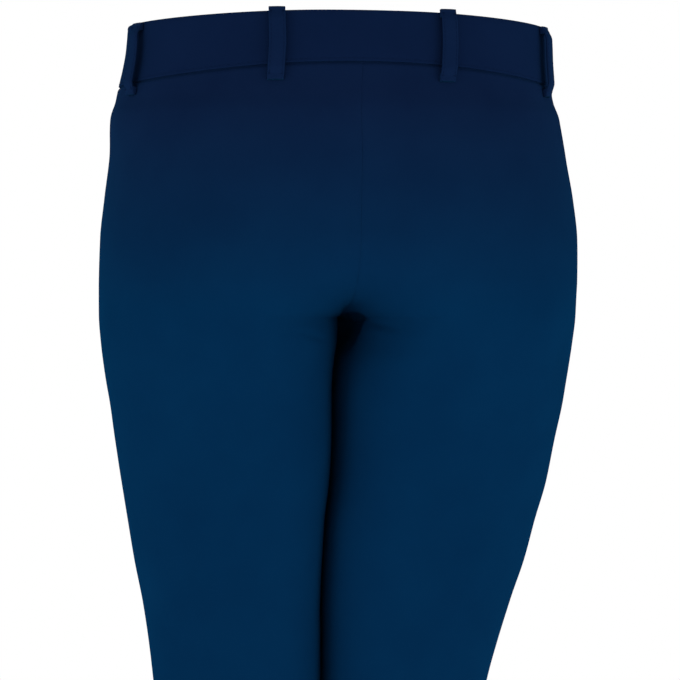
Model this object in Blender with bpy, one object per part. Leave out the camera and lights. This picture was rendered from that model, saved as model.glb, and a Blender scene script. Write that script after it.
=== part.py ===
"""Riding breeches as they are worn: a hollow garment, one solid for each piece that is cut and sewn.

Metres, +Z up. +X is the wearer's left and -Y the front. The origin is the middle of the
waistband's ring, where the wearer's waist holds the garment up.

One quarter of the garment, from a centre seam or inseam round to the side seam, comes from the
table of sections. Every panel, the waistband and all that lies on them are made from its points.
"""

import math

import bmesh
import bpy
import numpy as np
from mathutils import Matrix, Vector

# ---- cloth and seams
CLOTH = 0.0015
HEM_CLOTH = 0.0027
HEM_DEPTH = 0.022
HEM_FADE = 0.004
BAND_CLOTH = 0.0024
SEAM_GAP = 0.0003

# ---- heights
BAND_TOP_Z = 0.0205
WAIST_SEAM_Z = -0.0245
SEAT_Z = -0.130
CROTCH_Z = -0.196
THIGH_Z = -0.219
HEM_Z = -0.895
BACK_TOP_RISE = 0.0055
BACK_SEAM_RISE = 0.0125
FRONT_DROP = 0.0020

# ---- the garment's sections. side is the side seam's x and side_y its y, centre the x of the rearmost
# ---- and foremost points and back and front their y, inner and inner_y the inseam's place below the
# ---- crotch, the dips how far the centre seams lie in, soft how widely the cleft is rounded, and square
# ---- how flat the inner side is: 2 is an ellipse, and 3 a thigh that its neighbour presses flat.
COLUMNS = (
    "z", "side", "centre", "back", "front", "side_y", "inner", "inner_y", "back_dip", "front_dip", "soft",
    "square",
)
SECTIONS = (
    (0.0350, 0.1580, 0.0280, 0.1020, -0.0975, 0.003, 0.0000, -0.0200, 0.0000, 0.0000, 0.030, 2.00),
    (0.0225, 0.1586, 0.0300, 0.1055, -0.0985, 0.003, 0.0000, -0.0200, 0.0000, 0.0000, 0.030, 2.00),
    (0.0000, 0.1600, 0.0320, 0.1118, -0.1000, 0.003, 0.0000, -0.0200, 0.0000, 0.0000, 0.030, 2.00),
    (-0.0225, 0.1630, 0.0370, 0.1175, -0.1020, 0.003, 0.0000, -0.0200, 0.0000, 0.0000, 0.030, 2.00),
    (-0.0350, 0.1651, 0.0410, 0.1213, -0.1032, 0.003, 0.0000, -0.0200, 0.0000, 0.0000, 0.030, 2.00),
    (-0.0475, 0.1691, 0.0450, 0.1250, -0.1045, 0.003, 0.0000, -0.0200, 0.0005, 0.0000, 0.030, 2.00),
    (-0.0775, 0.1719, 0.0540, 0.1292, -0.1060, 0.004, 0.0000, -0.0200, 0.0020, 0.0000, 0.030, 2.00),
    (-0.1080, 0.1763, 0.0620, 0.1322, -0.1058, 0.004, 0.0000, -0.0200, 0.0035, 0.0005, 0.030, 2.00),
    (-0.1380, 0.1794, 0.0700, 0.1332, -0.1038, 0.004, 0.0000, -0.0200, 0.0060, 0.0010, 0.030, 2.05),
    (-0.1680, 0.1799, 0.0775, 0.1305, -0.1010, 0.003, 0.0000, -0.0200, 0.0080, 0.0020, 0.022, 2.10),
    (-0.1830, 0.1796, 0.0807, 0.1266, -0.0997, 0.002, 0.0000, -0.0200, 0.0080, 0.0020, 0.009, 2.15),
    (-0.1960, 0.1793, 0.0832, 0.1222, -0.0986, 0.002, 0.0000, -0.0200, 0.0080, 0.0020, 0.000, 2.20),
    (-0.2120, 0.1779, 0.0855, 0.1155, -0.0978, 0.001, 0.0003, -0.0190, 0.0080, 0.0020, 0.000, 2.50),
    (-0.2350, 0.1749, 0.0870, 0.1055, -0.0970, 0.000, 0.0003, -0.0165, 0.0080, 0.0020, 0.000, 3.10),
    (-0.2580, 0.1712, 0.0856, 0.0985, -0.0958, -0.001, 0.0003, -0.0130, 0.0080, 0.0020, 0.000, 3.40),
    (-0.2885, 0.1658, 0.0829, 0.0920, -0.0935, -0.002, 0.0003, -0.0070, 0.0080, 0.0020, 0.000, 3.50),
    (-0.3190, 0.1605, 0.0802, 0.0868, -0.0908, -0.002, 0.0003, -0.0035, 0.0080, 0.0020, 0.000, 3.50),
    (-0.3490, 0.1538, 0.0769, 0.0820, -0.0876, -0.003, 0.0003, -0.0030, 0.0080, 0.0020, 0.000, 3.50),
    (-0.3790, 0.1472, 0.0736, 0.0770, -0.0842, -0.003, 0.0003, -0.0030, 0.0080, 0.0020, 0.000, 3.40),
    (-0.4090, 0.1390, 0.0696, 0.0720, -0.0802, -0.004, 0.0003, -0.0040, 0.0080, 0.0020, 0.000, 3.20),
    (-0.4390, 0.1320, 0.0661, 0.0670, -0.0760, -0.004, 0.0003, -0.0040, 0.0080, 0.0020, 0.000, 3.00),
    (-0.4670, 0.1264, 0.0634, 0.0628, -0.0723, -0.004, 0.0003, -0.0040, 0.0080, 0.0020, 0.000, 2.80),
    (-0.5000, 0.1215, 0.0610, 0.0588, -0.0685, -0.004, 0.0003, -0.0040, 0.0080, 0.0020, 0.000, 2.60),
    (-0.5350, 0.1182, 0.0596, 0.0575, -0.0645, -0.002, 0.0006, -0.0020, 0.0080, 0.0020, 0.000, 2.45),
    (-0.5750, 0.1163, 0.0594, 0.0635, -0.0575, 0.004, 0.0022, 0.0040, 0.0080, 0.0020, 0.000, 2.30),
    (-0.6200, 0.1156, 0.0593, 0.0740, -0.0495, 0.012, 0.0030, 0.0120, 0.0080, 0.0020, 0.000, 2.15),
    (-0.6600, 0.1138, 0.0587, 0.0775, -0.0440, 0.016, 0.0036, 0.0160, 0.0080, 0.0020, 0.000, 2.05),
    (-0.7100, 0.1075, 0.0565, 0.0740, -0.0370, 0.018, 0.0055, 0.0180, 0.0080, 0.0020, 0.000, 2.00),
    (-0.7600, 0.0992, 0.0539, 0.0655, -0.0315, 0.017, 0.0085, 0.0170, 0.0080, 0.0020, 0.000, 2.00),
    (-0.8100, 0.0926, 0.0519, 0.0565, -0.0270, 0.015, 0.0112, 0.0150, 0.0080, 0.0020, 0.000, 2.00),
    (-0.8550, 0.0890, 0.0509, 0.0512, -0.0245, 0.0135, 0.0128, 0.0135, 0.0080, 0.0020, 0.000, 2.00),
    (-0.8950, 0.0880, 0.0505, 0.0500, -0.0240, 0.013, 0.0130, 0.0130, 0.0080, 0.0020, 0.000, 2.00),
)
# ---- how the wearer stands: lean is how far the legs lean to the left, inward how far the right thigh's
# ---- inner side presses the left one in, swell how far the left thigh swells back at its inseam, over
# ---- twice the width, and turn how far the waist is turned
STANCE_COLUMNS = ("z", "lean", "inward", "swell", "turn")
STANCE = (
    (0.0350, -0.0024, 0.0000, 0.0000, 2.6),
    (0.0050, -0.0019, 0.0000, 0.0000, 2.6),
    (-0.0115, -0.0009, 0.0000, 0.0000, 2.4),
    (-0.0318, 0.0004, 0.0000, 0.0000, 2.0),
    (-0.0475, 0.0001, 0.0000, 0.0000, 1.5),
    (-0.0777, -0.0018, 0.0000, 0.0000, 0.7),
    (-0.1200, -0.0025, 0.0000, 0.0000, 0.0),
    (-0.1680, -0.0021, 0.0000, 0.0000, 0.0),
    (-0.2000, -0.0016, 0.0000, 0.0010, 0.0),
    (-0.2130, -0.0015, 0.0010, 0.0018, 0.0),
    (-0.2280, -0.0014, 0.0042, 0.0018, 0.0),
    (-0.2430, -0.0014, 0.0062, 0.0018, 0.0),
    (-0.2584, -0.0016, 0.0070, 0.0018, 0.0),
    (-0.2885, -0.0006, 0.0063, 0.0018, 0.0),
    (-0.3186, 0.0000, 0.0075, 0.0018, 0.0),
    (-0.3487, 0.0018, 0.0092, 0.0018, 0.0),
    (-0.3789, 0.0034, 0.0091, 0.0018, 0.0),
    (-0.4090, 0.0055, 0.0077, 0.0018, 0.0),
    (-0.4390, 0.0079, 0.0050, 0.0018, 0.0),
    (-0.4670, 0.0102, 0.0028, 0.0020, 0.0),
    (-0.6000, 0.0180, 0.0000, 0.0000, 0.0),
    (-0.7500, 0.0245, 0.0000, 0.0000, 0.0),
    (-0.8950, 0.0295, 0.0000, 0.0000, 0.0),
)
SWELL_WIDTH = 0.018
# ---- how squarely each centre seam curves under from the seat to the crotch: 2 is an ellipse
CROTCH_CURVE = {"back": 2.6, "front": 2.2}
INWARD = {"back": -1, "front": 1}
FLATTEST = 0.9999
INNER_POINTS = 36
OUTER_POINTS = 28
PROBE = 0.0004

# ---- how finely the panels are cut into faces: across, down to the seat, under to the crotch, down the leg
PANEL_COLUMNS = 12
COLUMN_EASE = 1.25
SEAT_ROWS = 6
SEAT_ROW_EASE = 1.4
CROTCH_ROWS = 8
LEG_ROWS = 26
SIDE_SEAT_Z = -0.105
LEG_ROW_EASE = 1.25

# ---- fly, zip and waistband closure; the wearer's right side laps over the left
FLY_LAP = 0.0060
FLY_END_Z = -0.150
FLY_FADE = 0.014
FLY_FLAT = 0.012
FLY_BLEND = 0.030
FLY_SETTLE = 0.028
FLY_LIFT = CLOTH + 2 * SEAM_GAP
ZIP_WIDTH = 0.022
ZIP_THICK = 0.0012
ZIP_DEPTH = CLOTH + 1.5 * SEAM_GAP
ZIP_TOP_Z = -0.0276
ZIP_END_Z = -0.142
ZIP_COLUMNS = 4
ZIP_ROWS = 8
BAND_COLUMNS = 60
BAND_ROWS = 3
BAND_UNDER = 0.083
BAND_OVER = 0.0145
BAND_LIFT_START = 1.830
BAND_LIFT_END = 1.905
BAND_LIFT = BAND_CLOTH + SEAM_GAP
BUTTON_RADIUS = 0.0075
BUTTON_THICK = 0.0030
BUTTON_X = -0.0065
BUTTON_SEGMENTS = 24
BUTTON_HOLES = 4
BUTTON_HOLE_SEGMENTS = 10
BUTTON_HOLE_RADIUS = 0.0010
BUTTON_HOLE_SPREAD = 0.0018

# ---- belt loops: distance is along the cloth from the centre back, the centre front or, towards the back,
# ---- the side seam, less skew on the left and more skew on the right; sweep is how much farther the lower
# ---- end lies, above and below how far a loop runs past the band, and stand how far it stands off
LOOP_WIDTH = 0.0120
LOOP_CLOTH = 0.0016
LOOP_GAP = 0.00045
LOOP_FOLD = 0.0034
LOOP_TACK = 0.105
LOOP_RISE = 0.19
LOOP_COLUMNS = 2
LOOP_STATIONS = (0.0, 0.02, 0.06, 0.095, 0.115, 0.18, 0.32, 0.50, 0.68, 0.82, 0.885, 0.905, 0.94, 0.98, 1.0)
LOOP_END_ROUND = 0.0011
LOOP_COLUMN_NAMES = ("distance", "skew", "sweep", "above", "below", "stand")
LOOPS = {
    "back": (0.0628, 0.0000, 0.0000, 0.0015, 0.0125, 0.0052),
    "side": (0.0385, 0.0090, 0.0120, -0.0010, 0.0100, 0.0066),
    "front": (0.0830, 0.0000, 0.0000, 0.0015, 0.0125, 0.0052),
}

# ---- faces that meet more sharply than this are drawn with an edge between them
SHARP_DEGREES = 40
# ---- colours, linear
NAVY = (0.0026, 0.0170, 0.0520, 1.0)
NAVY_BAND = (0.0033, 0.0130, 0.0420, 1.0)
NAVY_ZIP = (0.0030, 0.0090, 0.0250, 1.0)
NAVY_BUTTON = (0.0040, 0.0110, 0.0280, 1.0)


def column(table, names, name):
    """Heights, rising, and the named column's values."""
    rows = sorted(table)
    return np.array([row[0] for row in rows]), np.array([row[names.index(name)] for row in rows])


def curve_slopes(heights, values):
    """Slopes of a smooth curve through the rows that never overshoots between two of them."""
    rises = np.diff(values) / np.diff(heights)
    slopes = np.zeros(len(heights))
    slopes[0], slopes[-1] = rises[0], rises[-1]
    for row in range(1, len(heights) - 1):
        below, above = rises[row - 1], rises[row]
        if below * above > 0:
            slopes[row] = 2 * below * above / (below + above)
    return slopes


def curves_of(table, names):
    """For each column its heights, values and slopes."""
    found = {}
    for name in names[1:]:
        heights, values = column(table, names, name)
        found[name] = (heights, values, curve_slopes(heights, values))
    return found


BODY = curves_of(SECTIONS, COLUMNS)
POSE = curves_of(STANCE, STANCE_COLUMNS)


def at(curves, name, z):
    """The named column at a height."""
    heights, values, slopes = curves[name]
    z = min(max(z, heights[0]), heights[-1])
    row = min(int(np.searchsorted(heights, z, side="right")) - 1, len(heights) - 2)
    step = heights[row + 1] - heights[row]
    t = (z - heights[row]) / step
    start = (1 + 2 * t) * (1 - t) ** 2 * values[row] + t * (1 - t) ** 2 * step * slopes[row]
    end = t * t * (3 - 2 * t) * values[row + 1] + t * t * (t - 1) * step * slopes[row + 1]
    return start + end


def ease(t):
    """0 to 1 along a soft step."""
    t = min(max(t, 0.0), 1.0)
    return t * t * (3 - 2 * t)


def centre_seam_y(half, z):
    """The centre seam's y: near upright down to the seat, then curving under to the crotch."""
    if z >= SEAT_Z:
        return at(BODY, half, z) + INWARD[half] * at(BODY, half + "_dip", z)
    start = centre_seam_y(half, SEAT_Z)
    low = at(BODY, "inner_y", CROTCH_Z)
    share = min((SEAT_Z - z) / (SEAT_Z - CROTCH_Z), 1.0)
    power = CROTCH_CURVE[half]
    return low + (start - low) * (1 - share**power) ** (1 / power)


def section(half, z):
    """A front or back quarter's outline at a height, from its centre seam or inseam to its side seam."""
    inner_y = at(BODY, "inner_y", z)
    reach = at(BODY, half, z) - inner_y
    seam = centre_seam_y(half, z) - inner_y if z > CROTCH_Z else 0.0
    inner = at(BODY, "inner", z)
    centre = at(BODY, "centre", z)
    width = centre - inner
    power = at(BODY, "square", z)
    start_y = min(seam / reach, FLATTEST)
    start_x = (1 - start_y**power) ** (1 / power)
    turn = math.atan2(start_x, start_y) * (1 - np.linspace(0, 1, INNER_POINTS) ** 2)
    size = (np.sin(turn) ** power + np.cos(turn) ** power) ** (-1 / power)
    across = width * np.maximum(1 - size * np.sin(turn) / start_x, 0)
    soft = at(BODY, "soft", z)
    squeeze = (math.hypot(width, soft) - soft) / width
    across = np.sqrt(np.maximum((across * squeeze + soft) ** 2 - soft**2, 0))
    inside = np.column_stack([inner + across, inner_y + reach * size * np.cos(turn)])
    side_y = at(BODY, "side_y", z)
    turn = np.linspace(0, math.pi / 2, OUTER_POINTS)[1:]
    x = centre + (at(BODY, "side", z) - centre) * np.sin(turn)
    y = side_y + (at(BODY, half, z) - side_y) * np.cos(turn)
    return np.concatenate([inside, np.column_stack([x, y])])


def lengths_along(points):
    steps = np.linalg.norm(np.diff(points, axis=0), axis=1)
    return np.concatenate([[0.0], np.cumsum(steps)])


def point_on(points, distance):
    """The point this far along an outline."""
    along = lengths_along(points)
    return np.array([np.interp(distance, along, points[:, axis]) for axis in (0, 1)])


def panel_point(half, distance, z):
    """The point this far from the centre seam or inseam, and past the seam where it is negative."""
    x, y = point_on(section(half, z), abs(distance))
    return np.array([math.copysign(x, distance) if distance else x, y, z])


def ring_length(z):
    """Half of the way round the garment above the crotch."""
    return sum(lengths_along(section(half, z))[-1] for half in ("front", "back"))


def ring_point(around, z):
    """The point on the whole ring: 0 is the centre front, 1 the centre back by the left, 2 the front."""
    folded = 2 - around if 1 < around <= 2 else around - 2 if around > 2 else abs(around)
    left = around >= 0 and not 1 < around <= 2
    outline = np.concatenate([section("front", z), section("back", z)[::-1][1:]])
    x, y = point_on(outline, folded * lengths_along(outline)[-1])
    return np.array([x if left else -x, y, z])


def unit(vector):
    return vector / np.linalg.norm(vector)


def ring_normal(around, z):
    """The ring's outward normal, with the slope of the cloth in it."""
    share = PROBE / ring_length(z)
    along = ring_point(around + share, z) - ring_point(around - share, z)
    upward = ring_point(around, z + PROBE) - ring_point(around, z - PROBE)
    return unit(np.cross(along, upward))


def panel_normal(half, share, z):
    """A panel's outward normal at a share of the way to the side seam."""
    length = lengths_along(section(half, z))[-1]
    step = PROBE / length
    low, high = max(share - step, 0.0), min(share + step, 1.0)
    along = panel_point(half, high * length, z) - panel_point(half, low * length, z)
    higher = share * lengths_along(section(half, z + PROBE))[-1]
    lower = share * lengths_along(section(half, z - PROBE))[-1]
    upward = panel_point(half, higher, z + PROBE) - panel_point(half, lower, z - PROBE)
    normal = np.cross(upward, along) if half == "back" else np.cross(along, upward)
    return unit(normal)


def bend(point):
    """A point as the wearer's stance moves it."""
    angle = math.radians(at(POSE, "turn", point[2]))
    x = point[0] * math.cos(angle) - point[1] * math.sin(angle)
    y = point[0] * math.sin(angle) + point[1] * math.cos(angle)
    from_inseam = (y - at(BODY, "inner_y", point[2])) / SWELL_WIDTH
    inward = at(POSE, "inward", point[2]) - at(POSE, "swell", point[2]) * math.exp(-(from_inseam**2))
    inward *= max(1 - (x / at(BODY, "side", point[2])) ** 2, 0.0)
    return np.array([x + inward + at(POSE, "lean", point[2]), y, point[2]])


def new_material(name, colour, roughness):
    material = bpy.data.materials.new(name)
    material.use_nodes = True
    shader = material.node_tree.nodes["Principled BSDF"]
    shader.inputs["Base Color"].default_value = colour
    shader.inputs["Roughness"].default_value = roughness
    shader.inputs["Metallic"].default_value = 0.0
    return material


def new_object(name, points, faces, material):
    """A closed mesh object with its faces turned outward."""
    mesh = bpy.data.meshes.new(name)
    mesh.from_pydata([tuple(point) for point in points], [], faces)
    work = bmesh.new()
    work.from_mesh(mesh)
    bmesh.ops.recalc_face_normals(work, faces=work.faces)
    work.to_mesh(mesh)
    work.free()
    mesh.materials.append(material)
    mesh.shade_smooth()
    mesh.set_sharp_from_angle(angle=math.radians(SHARP_DEGREES))
    made = bpy.data.objects.new(name, mesh)
    bpy.context.scene.collection.objects.link(made)
    return made


def wall(name, outer, inner, material):
    """A wall of cloth between two grids of points, closed round its edge."""
    rows, columns = outer.shape[:2]
    points = [bend(point) for point in np.concatenate([outer.reshape(-1, 3), inner.reshape(-1, 3)])]
    count = rows * columns

    def cell(row, col, back):
        return back * count + row * columns + col

    faces = []
    for row in range(rows - 1):
        for col in range(columns - 1):
            for back in (0, 1):
                corners = [(row, col), (row, col + 1), (row + 1, col + 1), (row + 1, col)]
                faces.append([cell(r, c, back) for r, c in corners])
    rim = [(0, col) for col in range(columns)]
    rim += [(row, columns - 1) for row in range(1, rows)]
    rim += [(rows - 1, col) for col in range(columns - 2, -1, -1)]
    rim += [(row, 0) for row in range(rows - 2, 0, -1)]
    for here, after in zip(rim, rim[1:] + rim[:1]):
        faces.append([cell(*here, 0), cell(*after, 0), cell(*after, 1), cell(*here, 1)])
    return new_object(name, points, faces, material)


def waist_seam_z(half, share):
    """The waist seam's height, which rises to the centre back and falls a little to the front."""
    weight = math.cos(math.pi / 2 * share) ** 2
    return WAIST_SEAM_Z + weight * (BACK_SEAM_RISE if half == "back" else -FRONT_DROP)


def row_heights(half):
    """For each row of a panel its height at the centre seam or inseam and at the side seam."""
    rows = []
    start = waist_seam_z(half, 0)
    for row in range(SEAT_ROWS):
        share = (row / SEAT_ROWS) ** SEAT_ROW_EASE
        rows.append((start + share * (SEAT_Z - start), WAIST_SEAM_Z + share * (SIDE_SEAT_Z - WAIST_SEAM_Z)))
    for row in range(CROTCH_ROWS):
        share = row / CROTCH_ROWS
        drop = math.sin(share * math.pi / 2)
        rows.append((SEAT_Z + drop * (CROTCH_Z - SEAT_Z), SIDE_SEAT_Z + share * (THIGH_Z - SIDE_SEAT_Z)))
    for row in range(LEG_ROWS + 1):
        share = (row / LEG_ROWS) ** LEG_ROW_EASE
        rows.append((CROTCH_Z + share * (HEM_Z - CROTCH_Z), THIGH_Z + share * (HEM_Z - THIGH_Z)))
    return rows


def cloth_at(z):
    """The wall's thickness, which the turned-up hem doubles."""
    return CLOTH + (HEM_CLOTH - CLOTH) * ease((HEM_Z + HEM_DEPTH - z) / HEM_FADE)


def fly_share(z):
    """1 down to the fly's end, and 0 below it."""
    return ease((z - FLY_END_Z + FLY_FADE) / FLY_FADE)


def panel_grids(half, lapped):
    """The outer and inner points of a panel of the left side, row by row down from the waist seam."""
    outer, inner = [], []
    for row, (centre_z, side_z) in enumerate(row_heights(half)):
        across = lengths_along(section(half, centre_z))[-1]
        for col in range(PANEL_COLUMNS + 1):
            share = (col / PANEL_COLUMNS) ** COLUMN_EASE
            z = side_z + (centre_z - side_z) * math.cos(math.pi / 2 * share) ** 2
            z -= SEAM_GAP if row == 0 else 0.0
            length = lengths_along(section(half, z))[-1]
            distance = min(max(length - (1 - share) * across, SEAM_GAP / 2), length - SEAM_GAP / 2)
            normal = panel_normal(half, distance / length, z)
            if col == 0 and z > CROTCH_Z:
                normal = unit(normal * (0, 1, 1))
            elif col in (0, PANEL_COLUMNS):
                normal = unit(normal * (1, 0, 1))
            lift = 0.0
            if lapped:
                near = 1 - ease((distance - FLY_FLAT) / FLY_BLEND)
                distance -= (FLY_LAP + SEAM_GAP / 2) * near * fly_share(z)
                lift = FLY_LIFT * near * fly_share(z + FLY_SETTLE)
            point = panel_point(half, distance, z)
            if not (lapped and fly_share(z)):
                point[0] = max(point[0], SEAM_GAP / 2)
            outer.append(point + normal * lift)
            inner.append(point + normal * (lift - cloth_at(z)))
    shape = (-1, PANEL_COLUMNS + 1, 3)
    return np.array(outer).reshape(shape), np.array(inner).reshape(shape)


def mirrored(points):
    return points * (-1, 1, 1)


def panels(material):
    """Front and back of each leg, cut from the waist seam to the hem; the right front laps at the fly."""
    for half in ("back", "front"):
        outer, inner = panel_grids(half, False)
        wall(half + "_left", outer, inner, material)
        outer, inner = panel_grids(half, half == "front")
        wall(half + "_right", mirrored(outer), mirrored(inner), material)


def quarter_at(around):
    """The front or back quarter that a place on the ring lies in, and how far to the side seam it is."""
    back = lengths_along(section("back", WAIST_SEAM_Z))[-1]
    front = lengths_along(section("front", WAIST_SEAM_Z))[-1]
    from_back = abs(around - 1) * (back + front)
    if from_back < back:
        return "back", from_back / back
    return "front", abs(back + front - from_back) / front


def ring_heights(around):
    """The waist seam's and the band's top's height at a place on the ring."""
    half, share = quarter_at(around)
    weight = math.cos(math.pi / 2 * share) ** 2
    rise = BACK_TOP_RISE if half == "back" else -FRONT_DROP
    return waist_seam_z(half, share), BAND_TOP_Z + weight * rise


def band_lift(around):
    """How far the over end lies out over the under end."""
    return BAND_LIFT * ease((around - BAND_LIFT_START) / (BAND_LIFT_END - BAND_LIFT_START))


def waistband(material):
    """One strip: its under end lies behind the over end at the centre front."""
    outer, inner = [], []
    for row in range(BAND_ROWS + 1):
        for col in range(BAND_COLUMNS + 1):
            around = -BAND_UNDER + (2 + BAND_OVER + BAND_UNDER) * col / BAND_COLUMNS
            low, high = ring_heights(around)
            z = low + SEAM_GAP / 2 + (high - low - SEAM_GAP / 2) * row / BAND_ROWS
            point, normal = ring_point(around, z), ring_normal(around, z)
            lift = band_lift(around)
            outer.append(point + normal * lift)
            inner.append(point + normal * (lift - BAND_CLOTH))
    shape = (BAND_ROWS + 1, BAND_COLUMNS + 1, 3)
    wall("waistband", np.array(outer).reshape(shape), np.array(inner).reshape(shape), material)


def loop_around(place, side, distance, z):
    """Where on the ring a loop lies; side is 1 for the left and -1 for the right."""
    half = ring_length(z)
    if place == "back":
        return 1 - side * distance / half
    if place == "side":
        distance += lengths_along(section("front", z))[-1]
    return (side * distance / half) % 2


def belt_loop(place, side, material):
    """A strip tacked down above the band and below the waist seam, and standing off between."""
    size = dict(zip(LOOP_COLUMN_NAMES, LOOPS[place]))
    start = size["distance"] - side * size["skew"]
    low, high = ring_heights(loop_around(place, side, start, 0))
    top, bottom = high + size["above"], low - size["below"]
    outer, inner = [], []
    for station in LOOP_STATIONS:
        z = top + (bottom - top) * station
        rounding = LOOP_END_ROUND if station in (LOOP_STATIONS[0], LOOP_STATIONS[-1]) else 0.0
        raised = ease(station / LOOP_RISE) * ease((1 - station) / LOOP_RISE)
        out = LOOP_FOLD + (size["stand"] - LOOP_FOLD) * raised - rounding
        tacked = station < LOOP_TACK or station > 1 - LOOP_TACK
        for col in range(LOOP_COLUMNS + 1):
            distance = start + size["sweep"] * station + LOOP_WIDTH * (col / LOOP_COLUMNS - 0.5)
            around = loop_around(place, side, distance, z)
            point, normal = ring_point(around, z), ring_normal(around, z)
            outer.append(point + normal * out)
            inner.append(point + normal * (LOOP_GAP if tacked else out - LOOP_CLOTH))
    name = f"belt_loop_{place}_" + ("left" if side > 0 else "right")
    shape = (-1, LOOP_COLUMNS + 1, 3)
    wall(name, np.array(outer).reshape(shape), np.array(inner).reshape(shape), material)


def belt_loops(material):
    for place in LOOPS:
        for side in (1, -1):
            belt_loop(place, side, material)


def zip_tape(material):
    """The zip's strip, closed, behind the two front edges."""
    outer, inner = [], []
    for row in range(ZIP_ROWS + 1):
        z = ZIP_TOP_Z + (ZIP_END_Z - ZIP_TOP_Z) * row / ZIP_ROWS
        for col in range(ZIP_COLUMNS + 1):
            distance = ZIP_WIDTH * (col / ZIP_COLUMNS - 0.5)
            share = abs(distance) / lengths_along(section("front", z))[-1]
            normal = panel_normal("front", share, z) * (math.copysign(1, distance), 1, 1)
            point = panel_point("front", distance, z)
            outer.append(point - normal * ZIP_DEPTH)
            inner.append(point - normal * (ZIP_DEPTH + ZIP_THICK))
    shape = (ZIP_ROWS + 1, ZIP_COLUMNS + 1, 3)
    wall("zip", np.array(outer).reshape(shape), np.array(inner).reshape(shape), material)


def button_profile():
    """Radius and height of the button's turned outline, from the middle of its back to its dished face."""
    radius, thick = BUTTON_RADIUS, BUTTON_THICK
    return (
        (0.0, 0.0),
        (0.80 * radius, 0.0),
        (0.95 * radius, 0.25 * thick),
        (radius, 0.55 * thick),
        (0.95 * radius, 0.85 * thick),
        (0.84 * radius, thick),
        (0.72 * radius, 0.88 * thick),
        (0.60 * radius, 0.66 * thick),
        (0.0, 0.60 * thick),
    )


def turned(name, profile, segments, material):
    """A closed solid turned about Z from (radius, height) pairs that start and end on the axis."""
    points = [(0.0, 0.0, profile[0][1])]
    for radius, height in profile[1:-1]:
        for step in range(segments):
            angle = 2 * math.pi * step / segments
            points.append((radius * math.cos(angle), radius * math.sin(angle), height))
    points.append((0.0, 0.0, profile[-1][1]))
    rings = len(profile) - 2
    faces = []
    for step in range(segments):
        after = (step + 1) % segments
        faces.append([0, 1 + after, 1 + step])
        for ring in range(rings - 1):
            low, high = 1 + ring * segments, 1 + (ring + 1) * segments
            faces.append([low + step, low + after, high + after, high + step])
        last = 1 + (rings - 1) * segments
        faces.append([last + step, last + after, len(points) - 1])
    return new_object(name, points, faces, material)


def button(material):
    """A four-hole button on the band's over end, sewn to the under end through the buttonhole."""
    made = turned("button", button_profile(), BUTTON_SEGMENTS, material)
    around = 2 + BUTTON_X / ring_length(0)
    point, normal = ring_point(around, 0.0), ring_normal(around, 0.0)
    spot = bend(point + normal * (BAND_LIFT + SEAM_GAP))
    ahead = bend(point + normal * (BAND_LIFT + SEAM_GAP + PROBE))
    outward = Vector(ahead - spot).normalized()
    sideways = Vector((0, 0, 1)).cross(outward).normalized()
    upward = outward.cross(sideways)
    placed = Matrix((sideways, upward, outward)).transposed().to_4x4()
    placed.translation = Vector(spot)
    made.matrix_world = placed
    for step in range(BUTTON_HOLES):
        angle = 2 * math.pi * (step + 0.5) / BUTTON_HOLES
        x, y = BUTTON_HOLE_SPREAD * math.cos(angle), BUTTON_HOLE_SPREAD * math.sin(angle)
        profile = ((0.0, -BUTTON_THICK), (BUTTON_HOLE_RADIUS, -BUTTON_THICK))
        profile += ((BUTTON_HOLE_RADIUS, 2 * BUTTON_THICK), (0.0, 2 * BUTTON_THICK))
        cutter = turned(f"button_hole_{step}", profile, BUTTON_HOLE_SEGMENTS, material)
        cutter.matrix_world = placed @ Matrix.Translation((x, y, 0))
        cutter.hide_render = True
        cutter.display_type = "WIRE"
        cut = made.modifiers.new(f"hole_{step}", "BOOLEAN")
        cut.operation = "DIFFERENCE"
        cut.object = cutter


def main():
    for old in list(bpy.data.objects):
        bpy.data.objects.remove(old)
    panels(new_material("navy_stretch_cloth", NAVY, 0.85))
    band = new_material("navy_band_cloth", NAVY_BAND, 0.85)
    waistband(band)
    belt_loops(band)
    zip_tape(new_material("navy_zip", NAVY_ZIP, 0.6))
    button(new_material("navy_button", NAVY_BUTTON, 0.35))


if __name__ == "__main__":
    main()
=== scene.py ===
"""The looks of the worn riding breeches, in metres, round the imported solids.

+X is the wearer's left and -Y the front. Every shell is made from the same sections as its
solid, with finer points, and gets its creases, rolled seams, stitching and weave here.
"""

import math

import bpy
import numpy as np
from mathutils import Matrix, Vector

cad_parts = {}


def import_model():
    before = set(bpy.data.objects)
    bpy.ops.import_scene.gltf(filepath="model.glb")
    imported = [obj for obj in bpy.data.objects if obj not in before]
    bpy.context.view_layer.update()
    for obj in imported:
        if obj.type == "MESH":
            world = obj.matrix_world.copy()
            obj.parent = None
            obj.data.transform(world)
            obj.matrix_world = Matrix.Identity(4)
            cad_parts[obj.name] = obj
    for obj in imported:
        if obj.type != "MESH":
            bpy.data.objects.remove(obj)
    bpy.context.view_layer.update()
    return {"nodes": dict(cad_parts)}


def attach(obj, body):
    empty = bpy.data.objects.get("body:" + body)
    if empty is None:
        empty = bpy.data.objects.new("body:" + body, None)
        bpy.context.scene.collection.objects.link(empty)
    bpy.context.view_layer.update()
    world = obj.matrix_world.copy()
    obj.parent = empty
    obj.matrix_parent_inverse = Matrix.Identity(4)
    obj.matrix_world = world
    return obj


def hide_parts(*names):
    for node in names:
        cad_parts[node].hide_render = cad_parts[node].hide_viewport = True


# ---- left and right, and the panels
SIDES = (1, -1)
PANELS = [(half, side) for half in ("back", "front") for side in SIDES]

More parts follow.
